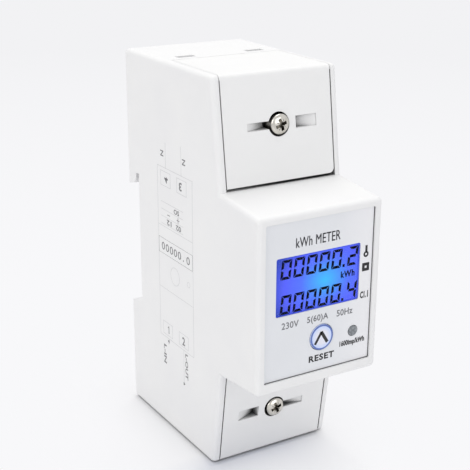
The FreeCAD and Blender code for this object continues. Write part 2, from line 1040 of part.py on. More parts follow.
def bar_depths():
    """Rear and front depth of the bars that the cages clamp."""
    front = cage_front - cage_wall - bar_front_gap
    return front - bar_thickness, front


def screw_at(x):
    """Terminal screw with a slot."""
    tip = bar_depths()[1] + thread_gap
    top = cage_front + terminal_head_height
    screw = turned(x, cage_z, [
        (0, tip), (terminal_screw_radius, tip), (terminal_screw_radius, cage_front),
        (terminal_screw_head, cage_front), (terminal_screw_head, top), (0, top)])
    slot_length = 2 * terminal_screw_head - terminal_slot
    slot = centred(x, cage_z, slot_length, terminal_slot, (top - terminal_slot_depth, top + past))
    return screw.cut(slot)


def bar_outline():
    """Front outline of a U shaped bar between the two cages of one end."""
    outer = terminal_x + bar_width / 2
    inner = terminal_x - bar_width / 2
    low = cage_z - cage_height / 2 - bar_bridge_gap
    high = cage_top - bar_end_gap
    return [
        (-outer, high), (-outer, low - bar_bridge), (outer, low - bar_bridge), (outer, high),
        (inner, high), (inner, low), (-inner, low), (-inner, high),
    ]


def sense_pin(x):
    """Pin from a bar down to the main board."""
    z = cage_z - cage_height / 2 - bar_bridge_gap - bar_bridge / 2
    return centred(x, z, sense_pin_size, sense_pin_size, (main_board_front, bar_depths()[0] + lead_sink))


def neutral_bar():
    """Bar between the two neutral terminals, with one pin to the main board."""
    bar = front_prism(bar_outline(), bar_depths())
    return joined([bar, sense_pin(terminal_x)])


def current_shunt():
    """Bar between the two line terminals, narrowed in the middle, with two pins."""
    bar = front_prism(bar_outline(), bar_depths())
    rear, front = bar_depths()
    low = cage_z - cage_height / 2 - bar_bridge_gap
    neck = block((-shunt_neck, shunt_neck), (rear - past, front + past), (low - bar_bridge / 3, low + past))
    bar = bar.cut(neck)
    pin_x = shunt_neck + shunt_pin_gap
    return mirrored_end(joined([bar, sense_pin(-pin_x), sense_pin(pin_x)]))


def pulse_terminal_block():
    """Moulded block in front of the upper deck, with a wire hole and a screw well for each pole."""
    width = pulse_poles * pulse_pitch + 2 * pulse_wall
    z = pulse_z()
    front = deck_depth + pulse_depth
    body = centred(0, z, width, pulse_height, (deck_depth, front))
    cuts = []
    pins = []
    for x in pulse_places():
        cuts.append(centred(x, z, pulse_well, pulse_well, (front - pulse_well_depth, front + past)))
        cuts.append(block((x - pulse_well / 2, x + pulse_well / 2),
                          (deck_depth + pulse_wall, front - pulse_well_depth), (z, z + pulse_height)))
        pins.append(centred(x, z, pulse_pin_size, pulse_pin_size,
                            (deck_depth - pulse_pin_length, deck_depth + pulse_wall / 2)))
    return joined([body.cut(cuts)] + pins)


def pulse_places():
    """Places of the pulse poles across the width."""
    return [(index - (pulse_poles - 1) / 2) * pulse_pitch for index in range(pulse_poles)]


def pulse_terminal_screws():
    """Small slotted screws of the pulse terminals."""
    z = pulse_z()
    seat = deck_depth + pulse_depth - pulse_well_depth
    top = seat + pulse_screw_height
    screws = []
    for x in pulse_places():
        screw = rod(x, z, (seat, top), pulse_screw_radius)
        slot_depths = (top - pulse_slot_depth, top + past)
        slot = centred(x, z, 2 * pulse_screw_radius + past, pulse_slot_width, slot_depths)
        screws.append(screw.cut(slot))
    return grouped(screws)


# Boards and the parts on them

def main_board():
    """Board in the rear base, on its four pillars."""
    half = base_half - base_wall - board_margin
    board = block((-half, half), (main_board_depth, main_board_front),
                  (main_board_inset, body_height - main_board_inset))
    radius = board_screw_radius + board_hole_gap
    return board.cut([rod(x, z, (main_board_depth - past, main_board_front + past), radius)
                      for x, z in screw_places()])


def riser_depths():
    """Rear and front depth of the riser board."""
    return main_board_front + riser_gap, board_back - riser_gap


def riser_board():
    """Board across the depth, between the main board and the display board."""
    return block((riser_x - riser_thickness, riser_x), riser_depths(),
                 (block_centre - riser_half_height, block_centre + riser_half_height))


def header(rear):
    """Connector that holds one edge of the riser board."""
    x = riser_x - riser_thickness / 2
    foot = main_board_front if rear else board_back - header_depth
    body = centred(x, block_centre, header_width + riser_thickness, 2 * header_half_height,
                   (foot, foot + header_depth))
    return body.cut(riser_board())


def film_capacitor():
    """Box capacitor with two leads."""
    width, height, depth = film_size
    x = film_left + width / 2
    z = block_centre - film_drop
    foot = main_board_front + lead_length
    body = centred(x, z, width, height, (foot, foot + depth))
    leads = [centred(x, z + side * height / 3, lead_size, lead_size, (main_board_front, foot + lead_sink))
             for side in (-1, 1)]
    return joined([body] + leads)


def smoothing_capacitor():
    """Round can standing on the main board."""
    z = block_centre - film_drop + film_size[1] / 2 + can_gap + can_radius
    top = main_board_front + can_height
    return rod(film_left + can_radius, z, (main_board_front, top), can_radius)


def varistor():
    """Disc on two leads, across the width."""
    z = block_centre - disc_drop
    x = riser_x + disc_gap
    middle = main_board_front + lead_length + disc_radius
    disc = Part.makeCylinder(disc_radius, disc_thickness, Vector(x, y_at(middle), z), Vector(1, 0, 0))
    leads = [centred(x + disc_thickness / 2, z + side * disc_lead_reach, lead_size, lead_size,
                     (main_board_front, middle - disc_radius / 2)) for side in (-1, 1)]
    return joined([disc] + leads)


def optocoupler():
    """Four pin package on the main board."""
    width, height, depth = opto_size
    pin_width, pin_height, pin_depth = opto_pin
    z = block_centre + header_half_height + opto_gap + height / 2
    body = centred(opto_x, z, width, height, (main_board_front + lead_size / 2, main_board_front + depth))
    pins = [centred(opto_x + side * width / 2, z + end * opto_pin_pitch / 2, pin_width, pin_height,
                    (main_board_front, main_board_front + pin_depth))
            for side in (-1, 1) for end in (-1, 1)]
    return joined([body] + pins)


def chip_pins(width, height, count):
    """Places of the pins along two sides of a chip."""
    pitch = height / (count + 1)
    places = []
    for index in range(count):
        along = (index + 1) * pitch - height / 2
        places.append((width / 2, along))
        places.append((-width / 2, along))
    return places


def metering_chip():
    """Chip on the riser board."""
    depth, height, thick = chip_size
    pin_length, pin_width, pin_rise = chip_pin
    middle = (riser_depths()[0] + riser_depths()[1]) / 2 - chip_sink
    body = block((riser_x + chip_standoff, riser_x + thick), (middle - depth / 2, middle + depth / 2),
                 (block_centre - height / 2, block_centre + height / 2))
    pins = []
    for across, along in chip_pins(depth, height, chip_pin_count):
        pin_z = block_centre + along
        pins.append(block((riser_x, riser_x + pin_rise),
                          (middle + across - pin_length / 2, middle + across + pin_length / 2),
                          (pin_z - pin_width / 2, pin_z + pin_width / 2)))
    return joined([body] + pins)


def crystal():
    """Flat crystal can on the riser board."""
    radius = crystal_size[0] / 2
    length = crystal_size[1]
    depth = riser_depths()[1] - crystal_sink
    z = block_centre + crystal_rise
    can = block((riser_x, riser_x + 2 * radius), (depth - radius, depth + radius), (z, z + length))
    return rounded(can, radius * crystal_round_share, lambda middle, run: abs(run.z) > length / 2)


def display_controller():
    """Square chip behind the display board."""
    width, height, thick = driver_size
    pin_length, pin_width, pin_rise = driver_pin
    depths = (board_back - pin_rise, board_back)
    body = centred(0, window_z, width, height, (board_back - thick, board_back - chip_standoff))
    pins = []
    for across, along in chip_pins(width, height, driver_pin_count):
        pins.append(centred(across, window_z + along, pin_length, pin_width, depths))
        pins.append(centred(along, window_z + across, pin_width, pin_length, depths))
    return joined([body] + pins)


def build():
    """Write every piece."""
    cover = upper_terminal_cover()
    seal_screw = upper_sealing_screw()
    write("main_housing", main_housing())
    write("rear_base", rear_base())
    write("upper_terminal_cover", cover)
    write("lower_terminal_cover", other_end(cover))
    write("upper_sealing_screw", seal_screw)
    write("lower_sealing_screw", other_end(seal_screw))
    write("rail_latch", rail_latch())
    write("latch_spring", latch_spring())
    write("face_label", face_label())
    write("display_window", display_window())
    write("liquid_crystal_panel", liquid_crystal_panel())
    write("backlight_guide", backlight_guide())
    write("panel_connector", panel_connector())
    write("display_board", display_board())
    write("display_controller", display_controller())
    write("reset_key", reset_key())
    write("switch_plunger", switch_plunger())
    write("reset_switch", reset_switch())
    write("pulse_lamp", pulse_lamp())
    write("main_board", main_board())
    write("main_board_screws", main_board_screws())
    write("riser_board", riser_board())
    write("rear_header", header(True))
    write("front_header", header(False))
    write("metering_chip", metering_chip())
    write("crystal", crystal())
    write("film_capacitor", film_capacitor())
    write("smoothing_capacitor", smoothing_capacitor())
    write("varistor", varistor())
    write("optocoupler", optocoupler())
    for name, x in (("left", -terminal_x), ("right", terminal_x)):
        write("neutral_cage_" + name, cage_at(x))
        write("line_cage_" + name, mirrored_end(cage_at(x)))
        write("neutral_screw_" + name, screw_at(x))
        write("line_screw_" + name, mirrored_end(screw_at(x)))
    write("neutral_bar", neutral_bar())
    write("current_shunt", current_shunt())
    write("pulse_terminal_block", pulse_terminal_block())
    write("pulse_terminal_screws", pulse_terminal_screws())


os.makedirs("parts", exist_ok=True)
build()
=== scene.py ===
import json
import math

import bmesh
import bpy
from mathutils import Matrix, Vector


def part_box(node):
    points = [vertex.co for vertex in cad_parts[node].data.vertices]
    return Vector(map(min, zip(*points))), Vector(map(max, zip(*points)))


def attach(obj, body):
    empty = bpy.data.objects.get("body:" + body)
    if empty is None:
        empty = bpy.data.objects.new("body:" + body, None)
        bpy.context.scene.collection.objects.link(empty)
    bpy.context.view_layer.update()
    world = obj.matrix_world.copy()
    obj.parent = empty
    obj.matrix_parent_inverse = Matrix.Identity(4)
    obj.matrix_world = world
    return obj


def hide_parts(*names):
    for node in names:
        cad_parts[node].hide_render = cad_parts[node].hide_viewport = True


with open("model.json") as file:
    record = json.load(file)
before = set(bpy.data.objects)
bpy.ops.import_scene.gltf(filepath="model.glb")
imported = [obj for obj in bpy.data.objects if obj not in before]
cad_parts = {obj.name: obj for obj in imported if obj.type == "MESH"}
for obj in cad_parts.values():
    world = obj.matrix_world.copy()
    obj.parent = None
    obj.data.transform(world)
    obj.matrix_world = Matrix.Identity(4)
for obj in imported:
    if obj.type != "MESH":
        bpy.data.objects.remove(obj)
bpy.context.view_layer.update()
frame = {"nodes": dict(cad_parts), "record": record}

# Units and shared values; lengths are in metres

MM = 0.001
WELD = 1e-7
REAR_PLANE = 32.85 * MM
INK = 0.04 * MM
OUTLINE_STEPS = 48
SMOOTH_ANGLE = math.radians(35)

# Outer faces read from the solids

label_low, label_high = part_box("face_label")
pane_low, pane_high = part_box("display_window")
panel_low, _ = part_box("liquid_crystal_panel")
key_low, key_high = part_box("reset_key")
key_middle = (key_low + key_high) / 2
body_low, body_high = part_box("main_housing")


def tone(red, green, blue):
    """A screen colour from 0 to 255 as the linear colour that the nodes take."""
    linear = []
    for part in (red, green, blue):
        value = part / 255
        linear.append(value / 12.92 if value <= 0.04045 else ((value + 0.055) / 1.055) ** 2.4)
    return (*linear, 1.0)


# Node helpers

# Most of a noise lies between these two values
NOISE_SPAN = (0.3, 0.7)
# The numbers of the Mix node's sockets for colours
MIX_FACTOR, MIX_FIRST, MIX_SECOND, MIX_RESULT = 0, 6, 7, 2


def fill_sockets(node, values):
    """Puts a value or a link in each named or numbered socket of a node."""
    for socket, value in values.items():
        if isinstance(value, bpy.types.NodeSocket):
            node.id_data.links.new(value, node.inputs[socket])
        else:
            node.inputs[socket].default_value = value


def add_node(tree, kind, values=None, **settings):
    made = tree.nodes.new(kind)
    for name, value in settings.items():
        setattr(made, name, value)
    fill_sockets(made, values or {})
    return made


def noise(tree, place, scale, detail=2.0, roughness=0.5):
    values = {"Vector": place, "Scale": scale, "Detail": detail, "Roughness": roughness}
    return add_node(tree, "ShaderNodeTexNoise", values).outputs["Fac"]


def stretched(tree, place, scale):
    return add_node(tree, "ShaderNodeMapping", {"Vector": place, "Scale": scale}).outputs["Vector"]


def spread(tree, value, low, high, span=NOISE_SPAN):
    """A value moved from the two ends of its span to low and high."""
    start, end = span
    values = {"Value": value, "From Min": start, "From Max": end, "To Min": low, "To Max": high}
    return add_node(tree, "ShaderNodeMapRange", values).outputs["Result"]


def mix_tones(tree, factor, first, second):
    values = {MIX_FACTOR: factor, MIX_FIRST: first, MIX_SECOND: second}
    return add_node(tree, "ShaderNodeMix", values, data_type="RGBA").outputs[MIX_RESULT]


def math_step(tree, operation, *values):
    return add_node(tree, "ShaderNodeMath", dict(enumerate(values)), operation=operation).outputs[0]


def vector_step(tree, operation, *values):
    made = add_node(tree, "ShaderNodeVectorMath", dict(enumerate(values)), operation=operation)
    return made.outputs["Value" if operation == "LENGTH" else "Vector"]


def axis_of(tree, vector, axis):
    return add_node(tree, "ShaderNodeSeparateXYZ", {"Vector": vector}).outputs[axis]


def past_box(tree, place, low, high):
    """How far a point is past each pair of sides of a box; less than nothing inside it."""
    centred = vector_step(tree, "SUBTRACT", place, (low + high) / 2)
    return vector_step(tree, "SUBTRACT", vector_step(tree, "ABSOLUTE", centred), (high - low) / 2)


def past_outline(tree, place, low, high):
    """How far a point is past the outline of a box seen from the front; less than nothing inside it."""
    past = past_box(tree, place, low, high)
    return math_step(tree, "MAXIMUM", axis_of(tree, past, "X"), axis_of(tree, past, "Z"))


def effect_group(name, inputs, outputs):
    """A node group with named sockets, what it is given, and the node that takes its results."""
    group = bpy.data.node_groups.new(name, "ShaderNodeTree")
    for in_out, sockets in (("INPUT", inputs), ("OUTPUT", outputs)):
        for label, kind in sockets:
            group.interface.new_socket(name=label, in_out=in_out, socket_type="NodeSocket" + kind)
    return group, group.nodes.new("NodeGroupInput").outputs, group.nodes.new("NodeGroupOutput")


# Effects that the materials share

SURFACE_INPUTS = [("Position", "Vector"), ("Light tone", "Color"), ("Dark tone", "Color"),
                  ("Grain scale", "Float"), ("Lowest roughness", "Float"), ("Highest roughness", "Float")]
SURFACE_OUTPUTS = [("Tone", "Color"), ("Roughness", "Float"), ("Relief", "Float")]
EDGE_SAMPLES = 6
SEAM_SAMPLES = 8
# Painted shade: narrow gaps and deep wells darken towards this tone by their ambient occlusion
PAINTED_SEAM_SHADE_TONE = tone(34, 34, 36)
# A gap is fully shaded at the first openness and not at all at the second
SEAM_OPENNESS = (0.15, 0.5)
# The painted shade fades out at the upper end, which the light from above reaches
UPPER_FADE = (body_high.z - 1.6 * MM, body_high.z - 0.7 * MM)
# The shares of the painted shade that are left at the left side, where more light falls, the heights that
# have them, and how far to the right the shade is whole again
LEFT_SHARES = (0.85, 0.35)
LEFT_HEIGHTS = (20 * MM, 75 * MM)
LEFT_FADE = (body_low.x + 3 * MM, 0.0)


def surface_group(name, cloud_scale, patch_scale, stretch):
    """Broad cloudiness in the tone, patches in the gloss, and fine grain in the relief."""
    group, given, result = effect_group(name, SURFACE_INPUTS, SURFACE_OUTPUTS)
    clouds = noise(group, given["Position"], cloud_scale, detail=3.0)
    drawn = stretched(group, given["Position"], stretch)
    patches = noise(group, drawn, patch_scale, detail=3.0)
    cloud_mask = spread(group, clouds, 0.0, 1.0)
    patch_mask = spread(group, patches, 0.0, 1.0)
    fill_sockets(result, {
        "Tone": mix_tones(group, cloud_mask, given["Dark tone"], given["Light tone"]),
        "Roughness": spread(group, patch_mask, given["Lowest roughness"], given["Highest roughness"], (0, 1)),
        "Relief": noise(group, drawn, given["Grain scale"], roughness=0.6),
    })
    return group


def edge_group():
    """Normals turned round a small radius at the edges of a moulding."""
    group, given, result = effect_group("rounded edges", [("Radius", "Float")], [("Normal", "Vector")])
    rounded = add_node(group, "ShaderNodeBevel", {"Radius": given["Radius"]}, samples=EDGE_SAMPLES)
    fill_sockets(result, {"Normal": rounded.outputs["Normal"]})
    return group


def painted_seam_shade_group():
    """A mask of painted shade in narrow gaps and deep wells that little light reaches, fainter above and at
    the left.
    """
    inputs = [("Position", "Vector"), ("Reach", "Float")]
    group, given, result = effect_group("seam shade", inputs, [("Mask", "Float")])
    openness = add_node(group, "ShaderNodeAmbientOcclusion", {"Distance": given["Reach"]},
                        samples=SEAM_SAMPLES)
    closed = spread(group, openness.outputs["AO"], 1.0, 0.0, SEAM_OPENNESS)
    height = axis_of(group, given["Position"], "Z")
    low_enough = spread(group, height, 1.0, 0.0, UPPER_FADE)
    at_the_left = spread(group, height, *LEFT_SHARES, LEFT_HEIGHTS)
    to_the_right = spread(group, axis_of(group, given["Position"], "X"), at_the_left, 1.0, LEFT_FADE)
    kept = math_step(group, "MULTIPLY", low_enough, to_the_right)
    fill_sockets(result, {"Mask": math_step(group, "MULTIPLY", closed, kept)})
    return group


MOULDED = surface_group("moulded surface", cloud_scale=55.0, patch_scale=240.0, stretch=(1, 1, 1))
DRAWN = surface_group("drawn metal surface", cloud_scale=700.0, patch_scale=900.0, stretch=(1, 1, 0.12))
ROUNDED = edge_group()
PAINTED_SEAM_SHADE = painted_seam_shade_group()

# Materials

BUMP_STRENGTH = 0.6


def start_material(name):
    material = bpy.data.materials.new(name)
    material.use_nodes = True
    tree = material.node_tree
    place = add_node(tree, "ShaderNodeTexCoord").outputs["Object"]
    return material, tree, tree.nodes["Principled BSDF"], place


def finish(name, light, dark, gloss=(0.38, 0.5), grain=5200.0, relief=0.012, edge=0.0, seam=0.0,
           group=MOULDED, **constants):
    """A material from a shared surface group; gloss is its lowest and highest roughness.

    The depth of the relief, the radius of the edges and the reach of the painted seam shade are in
    millimetres.
    """
    material, tree, shader, place = start_material(name)
    surface = add_node(tree, "ShaderNodeGroup", {
        "Position": place, "Light tone": light, "Dark tone": dark, "Grain scale": grain,
        "Lowest roughness": gloss[0], "Highest roughness": gloss[1]}, node_tree=group).outputs
    bump = add_node(tree, "ShaderNodeBump", {
        "Height": surface["Relief"], "Strength": BUMP_STRENGTH, "Distance": relief * MM})
    if edge:
        rounded = add_node(tree, "ShaderNodeGroup", {"Radius": edge * MM}, node_tree=ROUNDED)
        fill_sockets(bump, {"Normal": rounded.outputs["Normal"]})
    colour = surface["Tone"]
    # Painted shade darkens gaps and wells towards a dark tone
    if seam:
        painted_shade = add_node(tree, "ShaderNodeGroup", {"Position": place, "Reach": seam * MM}, node_tree=PAINTED_SEAM_SHADE)
        colour = mix_tones(tree, painted_shade.outputs["Mask"], colour, PAINTED_SEAM_SHADE_TONE)
    fill_sockets(shader, {
        "Base Color": colour, "Roughness": surface["Roughness"], "Normal": bump.outputs["Normal"]})
    fill_sockets(shader, {socket.replace("_", " "): value for socket, value in constants.items()})
    return material


def metal(name, light, dark, gloss, edge=0.05, seam=0.0):
    return finish(name, light, dark, gloss, grain=2600.0, relief=0.006, edge=edge, seam=seam,
                  group=DRAWN, Metallic=1.0)


def overlay(material, mask_at, colour):
    """The material with a colour laid over its own by a mask, which is worked out from the place."""
    tree = material.node_tree
    base = tree.nodes["Principled BSDF"].inputs["Base Color"]
    mask = mask_at(tree, add_node(tree, "ShaderNodeTexCoord").outputs["Object"])
    tree.links.new(mix_tones(tree, mask, base.links[0].from_socket, colour), base)
    return material


# White plastic with painted shade on the walls of the label pocket

POCKET_MARGIN = Vector((0.2, 0.0, 0.2)) * MM
POCKET_SHADE = 0.75
POCKET_EDGE = (body_low.y + 0.32 * MM, body_low.y + 0.42 * MM)


def painted_pocket_shade(tree, place):
    """A mask of painted shade on the walls round the label, from just behind the face of its frame."""
    past = past_outline(tree, place, label_low - POCKET_MARGIN, label_high + POCKET_MARGIN)
    inside = math_step(tree, "LESS_THAN", past, 0.0)
    depth = axis_of(tree, place, "Y")
    above_floor = math_step(tree, "LESS_THAN", depth, label_high.y)
    walls = math_step(tree, "MULTIPLY", inside, above_floor)
    return math_step(tree, "MULTIPLY", walls, spread(tree, depth, 0.0, POCKET_SHADE, POCKET_EDGE))


def housing_plastic():
    plastic = finish("white housing plastic", tone(238, 238, 238), tone(235, 235, 236), edge=0.15, seam=2.5,
                     Specular_IOR_Level=0.3)
    # The walls of the label pocket are painted dark grey as shade
    return overlay(plastic, painted_pocket_shade, tone(70, 70, 74))


# Printed sheet, paler towards its right edge

PALE_WIDTH = (4 * MM, 15 * MM)


def right_of_label(tree, place):
    return spread(tree, axis_of(tree, place, "X"), 0.0, 1.0, PALE_WIDTH)


def label_sheet():
    sheet = finish("label sheet", tone(230, 232, 236), tone(226, 228, 232), gloss=(0.42, 0.5),
                   grain=3800.0, relief=0.004)
    return overlay(sheet, right_of_label, tone(238, 238, 241))


# Blue back light with a cyan glow right of the middle, darker towards the corners, and a painted shadow of
# the window's edge round its border

GLOW_CENTRE = (1.9 * MM, 0.0, 54.0 * MM)
GLOW_REACH_ACROSS = 16.2 * MM
GLOW_REACH_UP = 12.6 * MM
GLOW_MIDDLE = tone(70, 198, 254)
# Shares of the reach, and the colours there
GLOW_STOPS = ((0.22, tone(80, 162, 255)), (0.42, tone(90, 122, 255)), (0.7, tone(92, 104, 254)),
              (0.95, tone(60, 80, 188)))
# Painted shadow of the window's edge on the panel: its share and the band it covers
BORDER_SHADE = 0.6
BORDER_WIDTH = (-0.5 * MM, -0.1 * MM)
MOTTLE_SHARE = 0.06


def glow(tree, place):
    """Rings of colour round the brightest place of the panel."""
    centred = vector_step(tree, "SUBTRACT", place, GLOW_CENTRE)
    squeezed = stretched(tree, centred, (1 / GLOW_REACH_ACROSS, 0, 1 / GLOW_REACH_UP))
    ramp = add_node(tree, "ShaderNodeValToRGB", {"Fac": vector_step(tree, "LENGTH", squeezed)})
    stops = ramp.color_ramp.elements
    stops.remove(stops[1])
    stops[0].color = GLOW_MIDDLE
    for share, colour in GLOW_STOPS:
        stops.new(share).color = colour
    return ramp.outputs["Color"]


def lit_panel():
    material, tree, shader, place = start_material("lit blue panel")
    mottle = spread(tree, noise(tree, place, scale=420.0), 0.0, MOTTLE_SHARE)
    patchy = mix_tones(tree, mottle, glow(tree, place), tone(110, 120, 250))
    # Painted shadow of the window's edge: a darker band just inside the outline of the pane
    window_edge_shade = spread(tree, past_outline(tree, place, pane_low, pane_high), 0.0, BORDER_SHADE, BORDER_WIDTH)
    fill_sockets(shader, {
        "Emission Color": mix_tones(tree, window_edge_shade, patchy, tone(40, 66, 190)), "Emission Strength": 1.0,
        "Base Color": mix_tones(tree, mottle, tone(8, 10, 40), tone(14, 16, 60)),
        "Roughness": 0.4, "Specular IOR Level": 0.05})
    return material


# Clear acrylic with faint handling marks in its gloss

def clear_acrylic():
    material, tree, shader, place = start_material("clear acrylic")
    marks = noise(tree, place, scale=900.0, detail=4.0)
    fill_sockets(shader, {
        "Roughness": spread(tree, marks, 0.01, 0.05),
        "Base Color": mix_tones(tree, marks, tone(252, 253, 255), tone(244, 248, 255)),
        "Transmission Weight": 1.0, "IOR": 1.1})
    return material


# Green solder resist with paler tracks under it

def tracks(tree, place):
    values = {"Vector": place, "Scale": 90.0, "Mortar Size": 0.03, "Mortar Smooth": 0.2}
    return add_node(tree, "ShaderNodeTexBrick", values).outputs["Fac"]


def solder_resist():
    resist = finish("solder resist", tone(34, 120, 66), tone(22, 96, 50), gloss=(0.25, 0.35),
                    grain=1500.0, relief=0.01)
    return overlay(resist, tracks, tone(60, 150, 88))


# Pale plastic of the key, bluer near its ring

KEY_BLUE_WIDTH = (1.7 * MM, 2.7 * MM)


def near_key_ring(tree, place):
    centred = vector_step(tree, "SUBTRACT", place, (key_middle.x, 0, key_middle.z))
    flat = vector_step(tree, "MULTIPLY", centred, (1, 0, 1))
    return spread(tree, vector_step(tree, "LENGTH", flat), 0.0, 1.0, KEY_BLUE_WIDTH)


def key_plastic():
    plastic = finish("pale blue key", tone(233, 235, 246), tone(229, 231, 244), gloss=(0.4, 0.5),
                     grain=4200.0, relief=0.008, edge=0.1)
    return overlay(plastic, near_key_ring, tone(205, 220, 255))


# Grey tinted lens of the pulse lamp, with the fine pattern of a diffuser

CELL_SHADE = 0.8
CELL_SPAN = (0.2, 0.8)


def diffuser_cells(tree, place):
    cells = add_node(tree, "ShaderNodeTexVoronoi", {"Vector": place, "Scale": 1500.0})
    return spread(tree, cells.outputs["Distance"], 0.0, CELL_SHADE, CELL_SPAN)


def diffusing_lens():
    lens = finish("diffusing lens", tone(167, 172, 176), tone(143, 148, 153), gloss=(0.3, 0.42),
                  grain=2400.0, relief=0.02)
    return overlay(lens, diffuser_cells, tone(96, 100, 106))


# The finish of each material slot of the record

FINISHES = {
    "housing": housing_plastic(),
    "cover": finish("white cover plastic", tone(239, 239, 239), tone(236, 236, 236), gloss=(0.36, 0.48),
                    edge=0.15, seam=4.2, Specular_IOR_Level=0.3),
    "latch": finish("white latch plastic", tone(232, 232, 230), tone(226, 226, 224), gloss=(0.4, 0.52),
                    edge=0.2),
    "nickel_screw": metal("bright nickel plate", tone(222, 219, 211), tone(196, 192, 184), gloss=(0.1, 0.24),
                          seam=1.2),
    "spring_steel": metal("spring steel", tone(190, 190, 192), tone(160, 160, 163), gloss=(0.25, 0.4)),
    "label": label_sheet(),
    "clear_window": clear_acrylic(),
    "lcd": lit_panel(),
    "light_guide": finish("milky acrylic", tone(226, 236, 250), tone(214, 226, 246), gloss=(0.15, 0.25),
                          grain=900.0, relief=0.004),
    "elastomer": finish("striped elastomer", tone(70, 70, 74), tone(40, 40, 42), gloss=(0.6, 0.75),
                        grain=3000.0, relief=0.02),
    "circuit_board": solder_resist(),
    "zinc_screw": metal("zinc plate", tone(210, 210, 214), tone(180, 182, 188), gloss=(0.25, 0.4)),
    "chip": finish("moulded black", tone(42, 42, 45), tone(30, 30, 32), gloss=(0.5, 0.65), grain=6000.0,
                   relief=0.02),
    "key": key_plastic(),
    "switch_plastic": finish("switch plastic", tone(52, 52, 54), tone(38, 38, 40), gloss=(0.42, 0.55),
                             edge=0.1),
    "switch_metal": metal("tinned steel", tone(205, 205, 208), tone(178, 178, 182), gloss=(0.2, 0.35)),
    "lamp": diffusing_lens(),
    "header_plastic": finish("black header plastic", tone(40, 40, 42), tone(28, 28, 30), gloss=(0.4, 0.55),
                             edge=0.1),
    "crystal_can": metal("nickel can", tone(214, 212, 206), tone(190, 188, 182), gloss=(0.15, 0.28)),
    "film_case": finish("yellow case", tone(232, 196, 74), tone(220, 180, 58), gloss=(0.3, 0.42), edge=0.2),
    "can_sleeve": finish("dark sleeve", tone(44, 50, 84), tone(32, 37, 66), gloss=(0.2, 0.32), grain=900.0,
                         relief=0.01),
    "disc_coat": finish("blue epoxy", tone(58, 118, 196), tone(42, 96, 172), gloss=(0.2, 0.35), grain=500.0,
                        relief=0.05),
    "opto_plastic": finish("white package", tone(236, 235, 230), tone(226, 224, 218), gloss=(0.5, 0.62),
                           edge=0.1),
    "copper": metal("copper", tone(226, 158, 118), tone(198, 126, 90), gloss=(0.25, 0.4)),
    "zinc_cage": metal("plated cage", tone(206, 205, 202), tone(176, 176, 174), gloss=(0.28, 0.42),
                       edge=0.15),
    "terminal_screw": metal("plated terminal screw", tone(214, 211, 204), tone(186, 184, 178),
                            gloss=(0.2, 0.35)),
    "terminal_plastic": finish("green terminal plastic", tone(62, 148, 88), tone(46, 126, 72), edge=0.2),
}

for entry in frame["record"]["subparts"]:
    solid = frame["nodes"][entry["node"]]
    solid.data.materials.clear()
    solid.data.materials.append(FINISHES[entry["material_slot"]])


def ink(name, light, dark, gloss=(0.45, 0.6), grain=9000.0, relief=0.004, **constants):
    return finish(name, light, dark, gloss, grain, relief, **constants)


BLACK_INK = ink("black printing ink", tone(34, 34, 37), tone(22, 22, 25))
GREY_INK = ink("grey printing ink", tone(122, 123, 128), tone(110, 111, 116))
SIDE_INK = ink("grey side ink", tone(118, 118, 121), tone(104, 104, 107))
LINE_INK = ink("pale side ink", tone(206, 206, 208), tone(196, 196, 199))
CRYSTAL_INK = ink("dark crystal segment", tone(9, 11, 34), tone(4, 6, 24), gloss=(0.5, 0.6), grain=6000.0,
                  relief=0.002, Specular_IOR_Level=0.05)
RING_INK = ink("blue grey ring", tone(104, 129, 196), tone(86, 110, 182), gloss=(0.4, 0.5), grain=4200.0,
               relief=0.006)

# Mesh helpers

CORNER_SEGMENTS = 8
RIM_SEGMENTS = 2
# Faces that meet at more than this turn, in radians, make a sharp edge
SHARP_TURN = 1
LETTER_STEPS = 3


def make_piece(name, bm, body, material):
    """The finished piece, with its place in its mesh."""
    bmesh.ops.recalc_face_normals(bm, faces=bm.faces)
    mesh = bpy.data.meshes.new(name)
    bm.to_mesh(mesh)
    bm.free()
    mesh.shade_smooth()
    mesh.set_sharp_from_angle(angle=SMOOTH_ANGLE)
    mesh.materials.append(material)
    piece = bpy.data.objects.new(name, mesh)
    bpy.context.scene.collection.objects.link(piece)
    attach(piece, body)
    return piece


def front_place(x, z, y):
    """Local X goes right, local Y up and local Z out of the front."""
    return Matrix.Translation((x, y, z)) @ Matrix.Rotation(math.radians(90), 4, "X")


def side_place(depth, z):
    """A place on the left side, in millimetres from the rear plane and the foot; local Z points outwards."""
    turn = Matrix(((0, 0, -1, 0), (-1, 0, 0, 0), (0, 1, 0, 0), (0, 0, 0, 1)))
    return Matrix.Translation((body_low.x, REAR_PLANE - depth * MM, z * MM)) @ turn


def tilt(angle):
    """A turn about local Z, by an angle in degrees."""
    return Matrix.Rotation(math.radians(angle), 4, "Z")


def place_form(bm, place):
    bmesh.ops.transform(bm, matrix=place, verts=bm.verts)


def add_form(bm, other):
    """Adds another form to this one and frees it."""
    mesh = bpy.data.meshes.new("added form")
    other.to_mesh(mesh)
    other.free()
    bm.from_mesh(mesh)
    bpy.data.meshes.remove(mesh)


def turned(bm, profile, steps=OUTLINE_STEPS):
    """A round form about local Z from points of radius and height."""
    points = [bm.verts.new((radius, 0, height)) for radius, height in profile]
    lines = [bm.edges.new(pair) for pair in zip(points, points[1:])]
    bmesh.ops.spin(bm, geom=points + lines, cent=(0, 0, 0), axis=(0, 0, 1), angle=math.tau,
                   steps=steps, use_merge=True)
    bmesh.ops.remove_doubles(bm, verts=bm.verts, dist=WELD)


def printed_ring(bm, inner, outer, place, steps=OUTLINE_STEPS):
    """A flat ring of ink between two radii in millimetres."""
    profile = [(inner, 0.5), (outer, 0.5), (outer, -0.5), (inner, -0.5), (inner, 0.5)]
    ring = bmesh.new()
    turned(ring, [(radius * MM, height * INK) for radius, height in profile], steps)
    place_form(ring, place)
    add_form(bm, ring)


